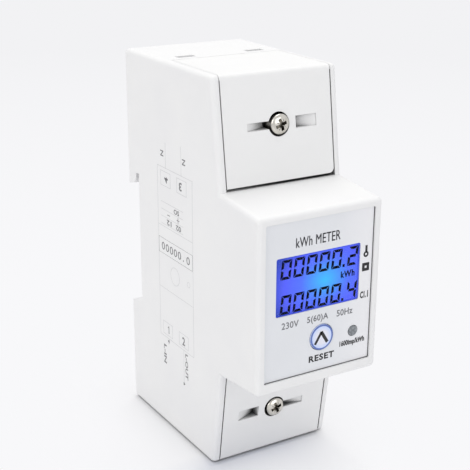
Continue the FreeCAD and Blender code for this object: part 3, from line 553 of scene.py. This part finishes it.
def block(bm, length, width, height, place):
    made = bmesh.ops.create_cube(bm, size=1)["verts"]
    bmesh.ops.scale(bm, vec=(length, width, height), verts=made)
    bmesh.ops.transform(bm, matrix=place, verts=made)
    return made


def round_edges(bm, edges, radius, segments):
    bmesh.ops.bevel(bm, geom=edges, offset=radius, offset_type="OFFSET", affect="EDGES",
                    segments=segments, profile=0.5, material=-1)


def rounded_block(bm, size, corner, edge, place):
    """A plate with round corners seen from its face and a fine round at its front edge."""
    block(bm, *size, Matrix())
    half_height = size[2] / 2
    uprights = [e for e in bm.edges if abs(e.verts[0].co.z - e.verts[1].co.z) > half_height]
    round_edges(bm, uprights, corner, CORNER_SEGMENTS)
    in_front = [e for e in bm.edges if min(v.co.z for v in e.verts) > half_height - WELD]
    rim = [e for e in in_front if len(e.link_faces) == 2 and e.calc_face_angle(0) > SHARP_TURN]
    round_edges(bm, rim, edge, RIM_SEGMENTS)
    place_form(bm, place)


def cut_away(bm, cutter):
    """The solid less the cutter, both as meshes in the same place."""
    holders = []
    for name, source in (("kept form", bm), ("cutting form", cutter)):
        bmesh.ops.recalc_face_normals(source, faces=source.faces)
        mesh = bpy.data.meshes.new(name)
        source.to_mesh(mesh)
        source.free()
        holder = bpy.data.objects.new(name, mesh)
        bpy.context.scene.collection.objects.link(holder)
        holders.append(holder)
    kept, cutting = holders
    change = kept.modifiers.new("cut", "BOOLEAN")
    change.operation = "DIFFERENCE"
    change.solver = "EXACT"
    change.object = cutting
    graph = bpy.context.evaluated_depsgraph_get()
    graph.update()
    result = bmesh.new()
    result.from_mesh(kept.evaluated_get(graph).to_mesh())
    for holder in holders:
        mesh = holder.data
        bpy.data.objects.remove(holder)
        bpy.data.meshes.remove(mesh)
    return result


def lettering(bm, words, box, place, weight=0.0, turn=0.0, spacing=1.0):
    """Words fitted to a box of left, right, base and top in millimetres on the surface of place."""
    curve = bpy.data.curves.new("lettering", "FONT")
    curve.body = words
    curve.size = 1.0
    curve.resolution_u = LETTER_STEPS
    curve.offset = weight
    curve.space_character = spacing
    curve.extrude = 0.5
    holder = bpy.data.objects.new("lettering", curve)
    bpy.context.scene.collection.objects.link(holder)
    graph = bpy.context.evaluated_depsgraph_get()
    mesh = bpy.data.meshes.new_from_object(holder.evaluated_get(graph))
    mesh.transform(tilt(turn))
    low = [min(v.co[axis] for v in mesh.vertices) for axis in range(2)]
    high = [max(v.co[axis] for v in mesh.vertices) for axis in range(2)]
    left, right, base, top = (value * MM for value in box)
    size = Vector(((right - left) / (high[0] - low[0]), (top - base) / (high[1] - low[1]), INK, 1))
    mesh.transform(Matrix.Translation((-(low[0] + high[0]) / 2, -(low[1] + high[1]) / 2, 0)))
    mesh.transform(Matrix.Diagonal(size))
    middle = Matrix.Translation(((left + right) / 2, (base + top) / 2, 0))
    mesh.transform(place @ middle)
    bm.from_mesh(mesh)
    bpy.data.objects.remove(holder)
    bpy.data.curves.remove(curve)
    bpy.data.meshes.remove(mesh)


# Sealing screws, in millimetres and degrees

SCREW_LENGTH = 16.6
HEAD_RADIUS = 2.55
HEAD_HEIGHT = 4.1
HEAD_CHAMFER = 0.1
CROWN_HEIGHT = 0.95
CROWN_STEPS = 8
SHANK_RADIUS = 1.25
THREAD_START = 7.0
THREAD_PITCH = 0.8
THREAD_DEPTH = 0.22
# Where the floor of a groove starts and ends below the crest over it
THREAD_FLOOR = (0.3, 0.42)
TIP_LENGTH = 1.0
TIP_TAPER = 0.2
TIP_SHARE = 0.6
# Length, width and depth of the blades that cut the cross and the fine marks between its arms
CROSS_BLADE = (4.1, 1.0, 1.6)
MARK_BLADE = (4.2, 0.22, 0.35)
BLADE_FLOOR = (0.55, 0.7, 1)
CROSS_TURN = 20
# How far a screw stands to the right of, above and in front of its plain solid
SCREW_SHIFT = (0.25, -0.07)
SCREW_RISE = 0.45


def screw_profile():
    crown = []
    for index in range(CROWN_STEPS + 1):
        angle = math.radians(90) * index / CROWN_STEPS
        crown.append((HEAD_RADIUS * math.sin(angle), -CROWN_HEIGHT * (1 - math.cos(angle))))
    neck = [(HEAD_RADIUS, -HEAD_HEIGHT + HEAD_CHAMFER), (HEAD_RADIUS - HEAD_CHAMFER, -HEAD_HEIGHT),
            (SHANK_RADIUS, -HEAD_HEIGHT)]
    root = SHANK_RADIUS - THREAD_DEPTH
    turns = int((SCREW_LENGTH - THREAD_START - TIP_LENGTH) / THREAD_PITCH)
    thread = [(SHANK_RADIUS, -THREAD_START)]
    for index in range(turns):
        crest = -THREAD_START - index * THREAD_PITCH
        thread += [(root, crest - depth) for depth in THREAD_FLOOR]
        thread.append((SHANK_RADIUS, crest - THREAD_PITCH))
    tip = [(root, thread[-1][1] - TIP_TAPER), (root * TIP_SHARE, -SCREW_LENGTH), (0.0, -SCREW_LENGTH)]
    return [(radius * MM, height * MM) for radius, height in crown + neck + thread + tip]


def blade(angle, length, width, depth):
    """A cutter across the head, narrower at its floor."""
    cutter = bmesh.new()
    made = block(cutter, length * MM, width * MM, 2 * depth * MM, Matrix())
    bmesh.ops.scale(cutter, vec=BLADE_FLOOR, verts=[v for v in made if v.co.z < 0])
    place_form(cutter, tilt(angle))
    return cutter


def sealing_screw(name, node):
    low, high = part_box(node)
    form = bmesh.new()
    turned(form, screw_profile())
    for size, angles in ((CROSS_BLADE, (0, 90)), (MARK_BLADE, (45, 135))):
        for angle in angles:
            form = cut_away(form, blade(CROSS_TURN + angle, *size))
    across, up = (value * MM for value in SCREW_SHIFT)
    middle = (low + high) / 2
    place_form(form, front_place(middle.x + across, middle.z + up, low.y - SCREW_RISE * MM))
    piece = make_piece(name, form, "housing", FINISHES["nickel_screw"])
    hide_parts(node)


sealing_screw("upper_screw_dressed", "upper_sealing_screw")
sealing_screw("lower_screw_dressed", "lower_sealing_screw")

# Display window pane, in metres

PANE_CORNER = 0.42 * MM
PANE_EDGE = 0.06 * MM
PANE_THICKNESS = 0.18 * MM


def window_pane():
    form = bmesh.new()
    size = (pane_high.x - pane_low.x, pane_high.z - pane_low.z, PANE_THICKNESS)
    middle = (pane_low + pane_high) / 2
    place = front_place(middle.x, middle.z, pane_low.y + PANE_THICKNESS / 2)
    rounded_block(form, size, PANE_CORNER, PANE_EDGE, place)
    piece = make_piece("window_pane", form, "housing", FINISHES["clear_window"])
    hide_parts("display_window")


window_pane()

# Figures on the liquid crystal panel, in millimetres

FIGURE_WIDTH = 2.8
FIGURE_HEIGHT = 4.75
FIGURE_STROKE = 0.68
FIGURE_GAP = 0.2
FIGURE_SLANT = math.tan(math.radians(6))
FIGURE_PITCH = 3.57
FIRST_FIGURE = -9.15
LAST_FIGURE = 9.78
POINT_PLACE = 7.15
POINT_LIFT = 0.35
POINT_SIZE = (0.62, 0.7)
UNIT_BOX = (6.45, 10.5, 53.4, 55.1)
ROW_CENTRES = {"000002": 58.55, "000004": 49.85}
SEGMENTS_LIT = {"0": "abcdef", "2": "abged", "4": "fgbc"}
SEGMENT_LIFT = 0.03


def panel_place(x, z):
    """A place just in front of the panel, in millimetres."""
    return front_place(x * MM, z * MM, panel_low.y - SEGMENT_LIFT * MM)


def segment_rows():
    """For each segment: centre, turn, length, and how far each end of its inner side is cut back."""
    across = (FIGURE_WIDTH - FIGURE_STROKE) / 2
    up = (FIGURE_HEIGHT - FIGURE_STROKE) / 2
    tall = FIGURE_HEIGHT / 2 - FIGURE_GAP
    wide = FIGURE_WIDTH - FIGURE_GAP
    mitre = FIGURE_STROKE
    half = FIGURE_STROKE / 2
    quarter_up = FIGURE_HEIGHT / 4
    return {
        "a": ((0, up), 0, wide, (mitre, mitre)),
        "d": ((0, -up), 180, wide, (mitre, mitre)),
        "f": ((-across, quarter_up), 90, tall, (half, mitre)),
        "e": ((-across, -quarter_up), 90, tall, (mitre, half)),
        "b": ((across, quarter_up), -90, tall, (mitre, half)),
        "c": ((across, -quarter_up), -90, tall, (half, mitre)),
        "g": ((0, 0), 0, wide - FIGURE_GAP, (half, half)),
    }


def segment(bm, row, both_sides):
    (x, z), angle, length, cuts = row
    made = block(bm, length, FIGURE_STROKE, 1, Matrix())
    for end, cut in zip((-1, 1), cuts):
        inner = [v for v in made if v.co.x * end > 0 and v.co.y < 0]
        bmesh.ops.translate(bm, vec=(-end * cut, 0, 0), verts=inner)
    if both_sides:
        outer = [v for v in made if v.co.y > 0]
        bmesh.ops.scale(bm, vec=(1 - 2 * cuts[0] / length, 1, 1), verts=outer)
    bmesh.ops.transform(bm, matrix=Matrix.Translation((x, z, 0)) @ tilt(angle), verts=made)


def figure(bm, digit, x, z):
    single = bmesh.new()
    rows = segment_rows()
    for letter in SEGMENTS_LIT[digit]:
        segment(single, rows[letter], letter == "g")
    slant = Matrix(((1, FIGURE_SLANT, 0, 0), (0, 1, 0, 0), (0, 0, 1, 0), (0, 0, 0, 1)))
    place_form(single, panel_place(x, z) @ Matrix.Diagonal((MM, MM, INK, 1)) @ slant)
    add_form(bm, single)


def display_figures():
    form = bmesh.new()
    point_width, point_height = POINT_SIZE
    for digits, z in ROW_CENTRES.items():
        places = [FIRST_FIGURE + index * FIGURE_PITCH for index in range(len(digits) - 1)]
        for digit, x in zip(digits, places + [LAST_FIGURE]):
            figure(form, digit, x, z)
        point = panel_place(POINT_PLACE, z - FIGURE_HEIGHT / 2 + POINT_LIFT)
        block(form, point_width * MM, point_height * MM, INK, point)
    lettering(form, "kWh", UNIT_BOX, panel_place(0, 0), weight=0.03, spacing=1.15)
    make_piece("display_figures", form, "housing", CRYSTAL_INK)


display_figures()

# Print on the face label, in millimetres

# The title is printed twice, a little apart, which thickens its strokes
TITLE_BOX = (-6.85, 5.65, 63.5, 65.9)
TITLE_SHIFTS = (-0.04, 0.04)
TITLE_SPACING = 1.04
# Words with their box, the weight of their strokes and the spacing that keeps the letters apart
GREY_WORDS = (
    ("230V", (-10.4, -5.6, 43.8, 45.5), 0.012, 1.04),
    ("5(60)A", (-3.2, 2.9, 43.5, 45.6), 0.018, 1.06),
    ("50Hz", (5.4, 10.1, 43.8, 45.5), 0.018, 1.06),
)
BLACK_WORDS = (
    ("RESET", (-2.4, 5.0, 33.4, 35.1), 0.036, 1.14),
    ("1600imp/kWh", (6.6, 14.1, 35.15, 37.0), 0.045, 1.06),
)
CLASS_WORDS = (("Cl.1", (12.2, 14.6, 47.1, 48.9), 0.045, 1.22),)
STEM_RING_RADII = (0.3, 0.76)
STEM_RING_STEPS = 32
STEM_RING_PLACE = (13.45, 58.4)
STEM_SIZE = (0.65, 1.8)
STEM_PLACE = (13.5, 59.75)
SQUARE_PLACE = (13.5, 55.15)
SQUARE_OUTER = 1.05
SQUARE_INNER = 0.3


def label_place(x, z):
    """A place on the face of the label, in millimetres."""
    return front_place(x * MM, z * MM, label_low.y)


def label_words(bm, rows):
    for words, box, weight, spacing in rows:
        lettering(bm, words, box, label_place(0, 0), weight=weight, spacing=spacing)


def label_print():
    left, right, base, top = TITLE_BOX
    grey = bmesh.new()
    for shift in TITLE_SHIFTS:
        box = (left + shift, right + shift, base, top)
        lettering(grey, "kWh METER", box, label_place(0, 0), spacing=TITLE_SPACING)
    label_words(grey, GREY_WORDS)
    make_piece("label_print_grey", grey, "housing", GREY_INK)
    black = bmesh.new()
    label_words(black, BLACK_WORDS)
    make_piece("label_print_black", black, "housing", BLACK_INK)


def square_in_square(bm, x, z):
    """Four bars between an outer and an inner square."""
    width = SQUARE_OUTER - SQUARE_INNER
    middle = (SQUARE_OUTER + SQUARE_INNER) / 2
    for side in (-1, 1):
        block(bm, width * MM, 2 * SQUARE_OUTER * MM, INK, label_place(x + side * middle, z))
        block(bm, 2 * SQUARE_INNER * MM, width * MM, INK, label_place(x, z + side * middle))


def label_symbols():
    """A ring with a stem, a square in a square and the class, down the right of the display."""
    form = bmesh.new()
    printed_ring(form, *STEM_RING_RADII, label_place(*STEM_RING_PLACE), STEM_RING_STEPS)
    block(form, STEM_SIZE[0] * MM, STEM_SIZE[1] * MM, INK, label_place(*STEM_PLACE))
    square_in_square(form, *SQUARE_PLACE)
    label_words(form, CLASS_WORDS)
    make_piece("label_symbols", form, "housing", BLACK_INK)


label_print()
label_symbols()

# Ring and arrow on the reset key, in millimetres

KEY_RING_STEPS = 72
KEY_RING_RADIUS = 3.02
KEY_RING_HALF = 0.23
KEY_RING_RISE = 0.05
KEY_RING_SUNK = 0.03
# The ring's shoulders as shares of its half width and its rise
SHOULDER_OUT = 0.7
SHOULDER_UP = 0.8
ARROW_RISE = 2.85
ARROW_FOOT = 1.75
ARROW_OVERLAP = 0.2
ARROW_SHIFT = (-0.15, -0.06)
# The widths of the left and the right leg
ARROW_STROKES = {-1: 0.68, 1: 0.82}


def key_dressing():
    face = front_place(key_middle.x, key_middle.z, key_low.y)
    ring = bmesh.new()
    out = KEY_RING_HALF * SHOULDER_OUT
    up = KEY_RING_RISE * SHOULDER_UP
    profile = [(-KEY_RING_HALF, -KEY_RING_SUNK), (-out, up), (0, KEY_RING_RISE), (out, up),
               (KEY_RING_HALF, -KEY_RING_SUNK), (-KEY_RING_HALF, -KEY_RING_SUNK)]
    turned(ring, [((KEY_RING_RADIUS + across) * MM, height * MM) for across, height in profile],
           KEY_RING_STEPS)
    place_form(ring, face)
    make_piece("key_ring", ring, "key", RING_INK)
    arrow = bmesh.new()
    lean = math.degrees(math.atan2(ARROW_RISE, ARROW_FOOT))
    leg = math.hypot(ARROW_RISE, ARROW_FOOT) + ARROW_OVERLAP
    shift_across, shift_up = ARROW_SHIFT
    for side, width in ARROW_STROKES.items():
        middle = Matrix.Translation(((side * ARROW_FOOT / 2 + shift_across) * MM, shift_up * MM, 0))
        block(arrow, leg * MM, width * MM, INK, face @ middle @ tilt(-side * lean))
    make_piece("key_arrow", arrow, "key", BLACK_INK)


key_dressing()

# Print on the left side, in millimetres of depth and height

SIDE_LINE = 0.1
SIDE_WEIGHT = 0.02
DRAWING_FRAME = (16.8, 35.3, 26.3, 73.4)
DRAWING_LINES = (
    ((21.4, 73.4), (21.4, 80.0)), ((29.7, 73.4), (29.7, 80.8)),
    ((16.8, 40.3), (35.3, 40.3)), ((16.8, 57.6), (35.3, 57.6)),
    ((21.4, 24.6), (21.4, 26.3)), ((29.8, 16.4), (29.8, 26.3)),
)
TERMINAL_BOXES = (
    (18.6, 23.8, 68.6, 72.4), (27.3, 32.3, 68.6, 72.4),
    (18.5, 23.6, 27.1, 30.7), (27.4, 32.4, 27.1, 30.7),
)
PULSE_LINE_ENDS = (18.5, 30.4)
PULSE_LINE_LEVELS = (58.3, 60.3, 62.2, 64.2)
# Depth, height and radius of the lamp and the key of the drawing
DRAWN_RINGS = ((25.6, 45.4, 2.4), (32.9, 45.6, 0.7))
COUNTER_FRAME = (17.0, 35.1, 50.0, 54.2)
COUNTER_LINE = 0.07
COUNTER_DEPTHS = (19.3, 21.55, 23.8, 26.0, 28.2, 32.8)
COUNTER_HALF = 0.85
COUNTER_HEIGHTS = (51.0, 53.1)
# Strokes with their ends and width: the counter's point, and a figure one
POINT_AND_ONE = (
    ((30.3, 51.2), (30.3, 51.3), 0.3),
    ((21.55, 27.9), (21.55, 29.8), 0.28), ((21.05, 29.4), (21.55, 29.8), 0.22),
)
# A minus sign, and the two strokes of a plus sign
PULSE_SIGNS = (
    ((22.0, 61.2), (23.2, 61.2), 0.2),
    ((27.1, 61.2), (28.3, 61.2), 0.2), ((27.7, 60.6), (27.7, 61.8), 0.2),
)
# Words with their box and turn
TERMINAL_WORDS = (
    ("4", (20.6, 22.5, 69.5, 71.1), 90), ("3", (28.5, 29.9, 69.4, 71.6), 180),
    ("2", (29.1, 30.5, 27.6, 29.9), 0),
    ("N", (18.7, 20.3, 76.2, 77.7), 90), ("N", (30.3, 31.9, 76.4, 77.9), 90),
    ("L-IN", (18.5, 19.9, 18.3, 23.8), -90), ("L-OUT", (30.6, 32.0, 18.3, 25.6), -90),
)
PULSE_WORDS = (
    ("12", (21.6, 24.1, 58.5, 59.9), 180), ("02", (26.6, 29.2, 58.5, 59.9), 180),
    ("SO", (25.5, 28.3, 62.5, 63.8), 180),
)
# Depth, height and turn of the arrow heads on the line leads
ARROW_HEADS = ((21.4, 25.5, 90), (29.8, 16.5, -90))
ARROW_HEAD_RADIUS = 0.6


def side_line(bm, start, end, width=SIDE_LINE):
    span = Vector(end) - Vector(start)
    middle = (Vector(start) + Vector(end)) / 2
    place = side_place(*middle) @ tilt(math.degrees(math.atan2(span.y, span.x)))
    block(bm, (span.length + width) * MM, width * MM, INK, place)


def side_box(bm, left, right, base, top, width=SIDE_LINE):
    corners = [(left, base), (right, base), (right, top), (left, top)]
    for index, corner in enumerate(corners):
        side_line(bm, corner, corners[(index + 1) % len(corners)], width)


def side_words(bm, rows, weight=SIDE_WEIGHT):
    for words, box, turn in rows:
        lettering(bm, words, box, side_place(0, 0), weight=weight, turn=turn)


def arrow_head(bm, depth, z, turn):
    made = bmesh.ops.create_cone(bm, cap_ends=True, segments=3, radius1=ARROW_HEAD_RADIUS * MM,
                                 radius2=ARROW_HEAD_RADIUS * MM, depth=INK)["verts"]
    bmesh.ops.transform(bm, matrix=side_place(depth, z) @ tilt(turn), verts=made)


def side_print_lines():
    """The pale lines of the wiring drawing."""
    form = bmesh.new()
    side_box(form, *DRAWING_FRAME)
    for start, end in DRAWING_LINES:
        side_line(form, start, end)
    for box in TERMINAL_BOXES:
        side_box(form, *box)
    for level in PULSE_LINE_LEVELS:
        start, end = ((depth, level) for depth in PULSE_LINE_ENDS)
        side_line(form, start, end)
    for depth, z, radius in DRAWN_RINGS:
        printed_ring(form, radius - SIDE_LINE / 2, radius + SIDE_LINE / 2, side_place(depth, z))
    make_piece("side_print_lines", form, "housing", LINE_INK)


def side_print_marks():
    """The darker words, figures, signs and arrow heads of the wiring drawing."""
    form = bmesh.new()
    side_box(form, *COUNTER_FRAME, COUNTER_LINE)
    boxes = [(depth - COUNTER_HALF, depth + COUNTER_HALF, *COUNTER_HEIGHTS) for depth in COUNTER_DEPTHS]
    side_words(form, [("0", box, 0) for box in boxes], weight=0.0)
    for start, end, width in POINT_AND_ONE:
        side_line(form, start, end, width)
    side_words(form, TERMINAL_WORDS + PULSE_WORDS)
    for start, end, width in PULSE_SIGNS:
        side_line(form, start, end, width)
    for depth, z, turn in ARROW_HEADS:
        arrow_head(form, depth, z, turn)
    make_piece("side_print_marks", form, "housing", SIDE_INK)


side_print_lines()
side_print_marks()

# Floor and backdrop, in metres

FLOOR_HALF_SIZE = 10
FLOOR_DROP = 0.02 * MM
FOOT_FRONT = REAR_PLANE - 44.8 * MM
FOOT_LOW = Vector((body_low.x, FOOT_FRONT, -1))
FOOT_HIGH = Vector((body_high.x, body_high.y, 1))
NEAR_TONE = tone(248, 248, 250)
FAR_TONE = tone(242, 242, 244)
# Painted shadow on the floor in front of the foot
PAINTED_FRONT_SHADOW_TONE = tone(206, 209, 220)
# Where the painted shadow before the foot fades: in depth, in distance from the foot, and to the right
FRONT_DEPTHS = (FOOT_FRONT - 3 * MM, FOOT_FRONT + 6 * MM)
FRONT_DISTANCES = (2 * MM, 30 * MM)
FRONT_WIDTH = (body_high.x - 14 * MM, body_high.x)
BACKDROP_DISTANCES = (0.1, 0.6)
SHADOW_DISTANCES = (1 * MM, 35 * MM)
SHADOW_EASE = 0.35
# Past the right side the shadow ends sooner, by this much
SHORTENED_BY = 14 * MM
SHORTENED_FROM = (body_high.x - 3 * MM, body_high.x + 4 * MM)
WORLD_TONE = (0.985, 0.99, 1.0, 1)
WORLD_STRENGTH = 0.62


def seen_rays(tree):
    """One for rays that show the background to the camera, also in metal and clear plastic."""
    rays = add_node(tree, "ShaderNodeLightPath").outputs
    direct = math_step(tree, "MAXIMUM", rays["Is Camera Ray"], rays["Is Glossy Ray"])
    return math_step(tree, "MAXIMUM", direct, rays["Is Transmission Ray"])


def mix_shaders(tree, factor, first, second):
    values = {0: factor, 1: first.outputs[0], 2: second.outputs[0]}
    return add_node(tree, "ShaderNodeMixShader", values).outputs[0]


def foot_distance(tree, place):
    """How far a point of the floor is from the outline the meter stands on."""
    outside = vector_step(tree, "MAXIMUM", past_box(tree, place, FOOT_LOW, FOOT_HIGH), (0, 0, 0))
    return vector_step(tree, "LENGTH", outside)


# A mask of painted shadow: a darker patch of floor just in front of the foot, fading out towards the right
def painted_shadow_before_foot(tree, place, away):
    in_front = spread(tree, axis_of(tree, place, "Y"), 1.0, 0.0, FRONT_DEPTHS)
    close_by = spread(tree, away, 1.0, 0.0, FRONT_DISTANCES)
    to_the_left = spread(tree, axis_of(tree, place, "X"), 1.0, 0.0, FRONT_WIDTH)
    return math_step(tree, "MULTIPLY", math_step(tree, "MULTIPLY", in_front, close_by), to_the_left)


def clear_of_shadow(tree, place, away):
    """Nothing at the foot, and one where the shadow has ended."""
    shortened = spread(tree, axis_of(tree, place, "X"), 0.0, SHORTENED_BY, SHORTENED_FROM)
    reached = math_step(tree, "ADD", away, shortened)
    return math_step(tree, "POWER", spread(tree, reached, 0.0, 1.0, SHADOW_DISTANCES), SHADOW_EASE)


def studio_floor_material():
    """Pale floor with a painted shadow in front of the foot, that keeps the shadow at the foot and turns into
    the backdrop's own tone further out.
    """
    material, tree, shader, place = start_material("pale studio floor")
    away = foot_distance(tree, place)
    plain = mix_tones(tree, noise(tree, place, scale=6.0), tone(235, 235, 237), tone(237, 237, 239))
    shaded = mix_tones(tree, painted_shadow_before_foot(tree, place, away), plain, PAINTED_FRONT_SHADOW_TONE)
    fill_sockets(shader, {"Base Color": shaded, "Roughness": 0.9, "Specular IOR Level": 0.0})
    backdrop_tone = mix_tones(tree, spread(tree, away, 0.0, 1.0, BACKDROP_DISTANCES), NEAR_TONE, FAR_TONE)
    backdrop = add_node(tree, "ShaderNodeEmission", {"Color": backdrop_tone, "Strength": 1.0})
    blend = math_step(tree, "MULTIPLY", seen_rays(tree), clear_of_shadow(tree, place, away))
    fill_sockets(tree.nodes["Material Output"], {"Surface": mix_shaders(tree, blend, shader, backdrop)})
    return material


def studio_floor():
    form = bmesh.new()
    bmesh.ops.create_grid(form, x_segments=1, y_segments=1, size=FLOOR_HALF_SIZE)
    bmesh.ops.translate(form, vec=(0, 0, -FLOOR_DROP), verts=form.verts)
    mesh = bpy.data.meshes.new("studio_floor")
    form.to_mesh(mesh)
    form.free()
    mesh.materials.append(studio_floor_material())
    floor = bpy.data.objects.new("studio_floor", mesh)
    bpy.context.scene.collection.objects.link(floor)


def studio_world():
    """Soft light from all round, seen as the far tone of the backdrop."""
    world = bpy.data.worlds.new("studio")
    bpy.context.scene.world = world
    world.use_nodes = True
    tree = world.node_tree
    light = tree.nodes["Background"]
    fill_sockets(light, {"Color": WORLD_TONE, "Strength": WORLD_STRENGTH})
    seen = add_node(tree, "ShaderNodeBackground", {"Color": FAR_TONE, "Strength": 1.0})
    fill_sockets(tree.nodes["World Output"], {"Surface": mix_shaders(tree, seen_rays(tree), light, seen)})


studio_floor()
studio_world()

# Lamps and camera

LAMP_SIZE = 0.9
LAMP_TARGET = Vector((0, 0, 50)) * MM
# Place in metres, power in watts and colour
LAMPS = {
    "top_lamp": ((0.1, 0.28, 1.3), 8.3, (1.0, 0.99, 0.965)),
    "left_lamp": ((-1.3, -0.2, 0.6), 4.5, (1.0, 0.985, 0.96)),
    "front_lamp": ((0.25, -1.3, 0.3), 3.75, (1.0, 1.0, 1.0)),
}
CAMERA_PLACE = Vector((-139.18, -226.53, 146.95)) * MM
# Turn anticlockwise seen from above, tilt downwards and lean, in degrees
CAMERA_ANGLES = (-32.05, 20.39, 0.59)
CAMERA_LENS = 83.486
CAMERA_SENSOR = 36
CAMERA_SHIFT = (-0.0452, 0.0610)
CAMERA_CLIP = (0.01, 50)


def area_lamp(name, place, power, colour):
    lamp = bpy.data.lights.new(name, "AREA")
    lamp.shape = "SQUARE"
    lamp.size = LAMP_SIZE
    lamp.energy = power
    lamp.color = colour
    holder = bpy.data.objects.new(name, lamp)
    bpy.context.scene.collection.objects.link(holder)
    holder.location = place
    holder.rotation_euler = (LAMP_TARGET - Vector(place)).to_track_quat("-Z", "Y").to_euler()


def photo_camera():
    """The photograph's own viewpoint, turn, tilt, lean and framing."""
    turn, down, lean = (math.radians(value) for value in CAMERA_ANGLES)
    ahead = Vector((-math.sin(turn) * math.cos(down), math.cos(turn) * math.cos(down), -math.sin(down)))
    level = Vector((math.cos(turn), math.sin(turn), 0))
    upward = level.cross(ahead)
    right = level * math.cos(lean) + upward * math.sin(lean)
    up = upward * math.cos(lean) - level * math.sin(lean)
    camera = bpy.data.cameras.new("photo_camera")
    camera.sensor_width = CAMERA_SENSOR
    camera.lens = CAMERA_LENS
    camera.shift_x, camera.shift_y = CAMERA_SHIFT
    camera.clip_start, camera.clip_end = CAMERA_CLIP
    holder = bpy.data.objects.new("photo_camera", camera)
    bpy.context.scene.collection.objects.link(holder)
    turning = Matrix((right, up, -ahead)).transposed()
    holder.matrix_world = Matrix.Translation(CAMERA_PLACE) @ turning.to_4x4()
    bpy.context.scene.camera = holder


for lamp_name, settings in LAMPS.items():
    area_lamp(lamp_name, *settings)
photo_camera()
bpy.context.scene.view_settings.view_transform = "Standard"
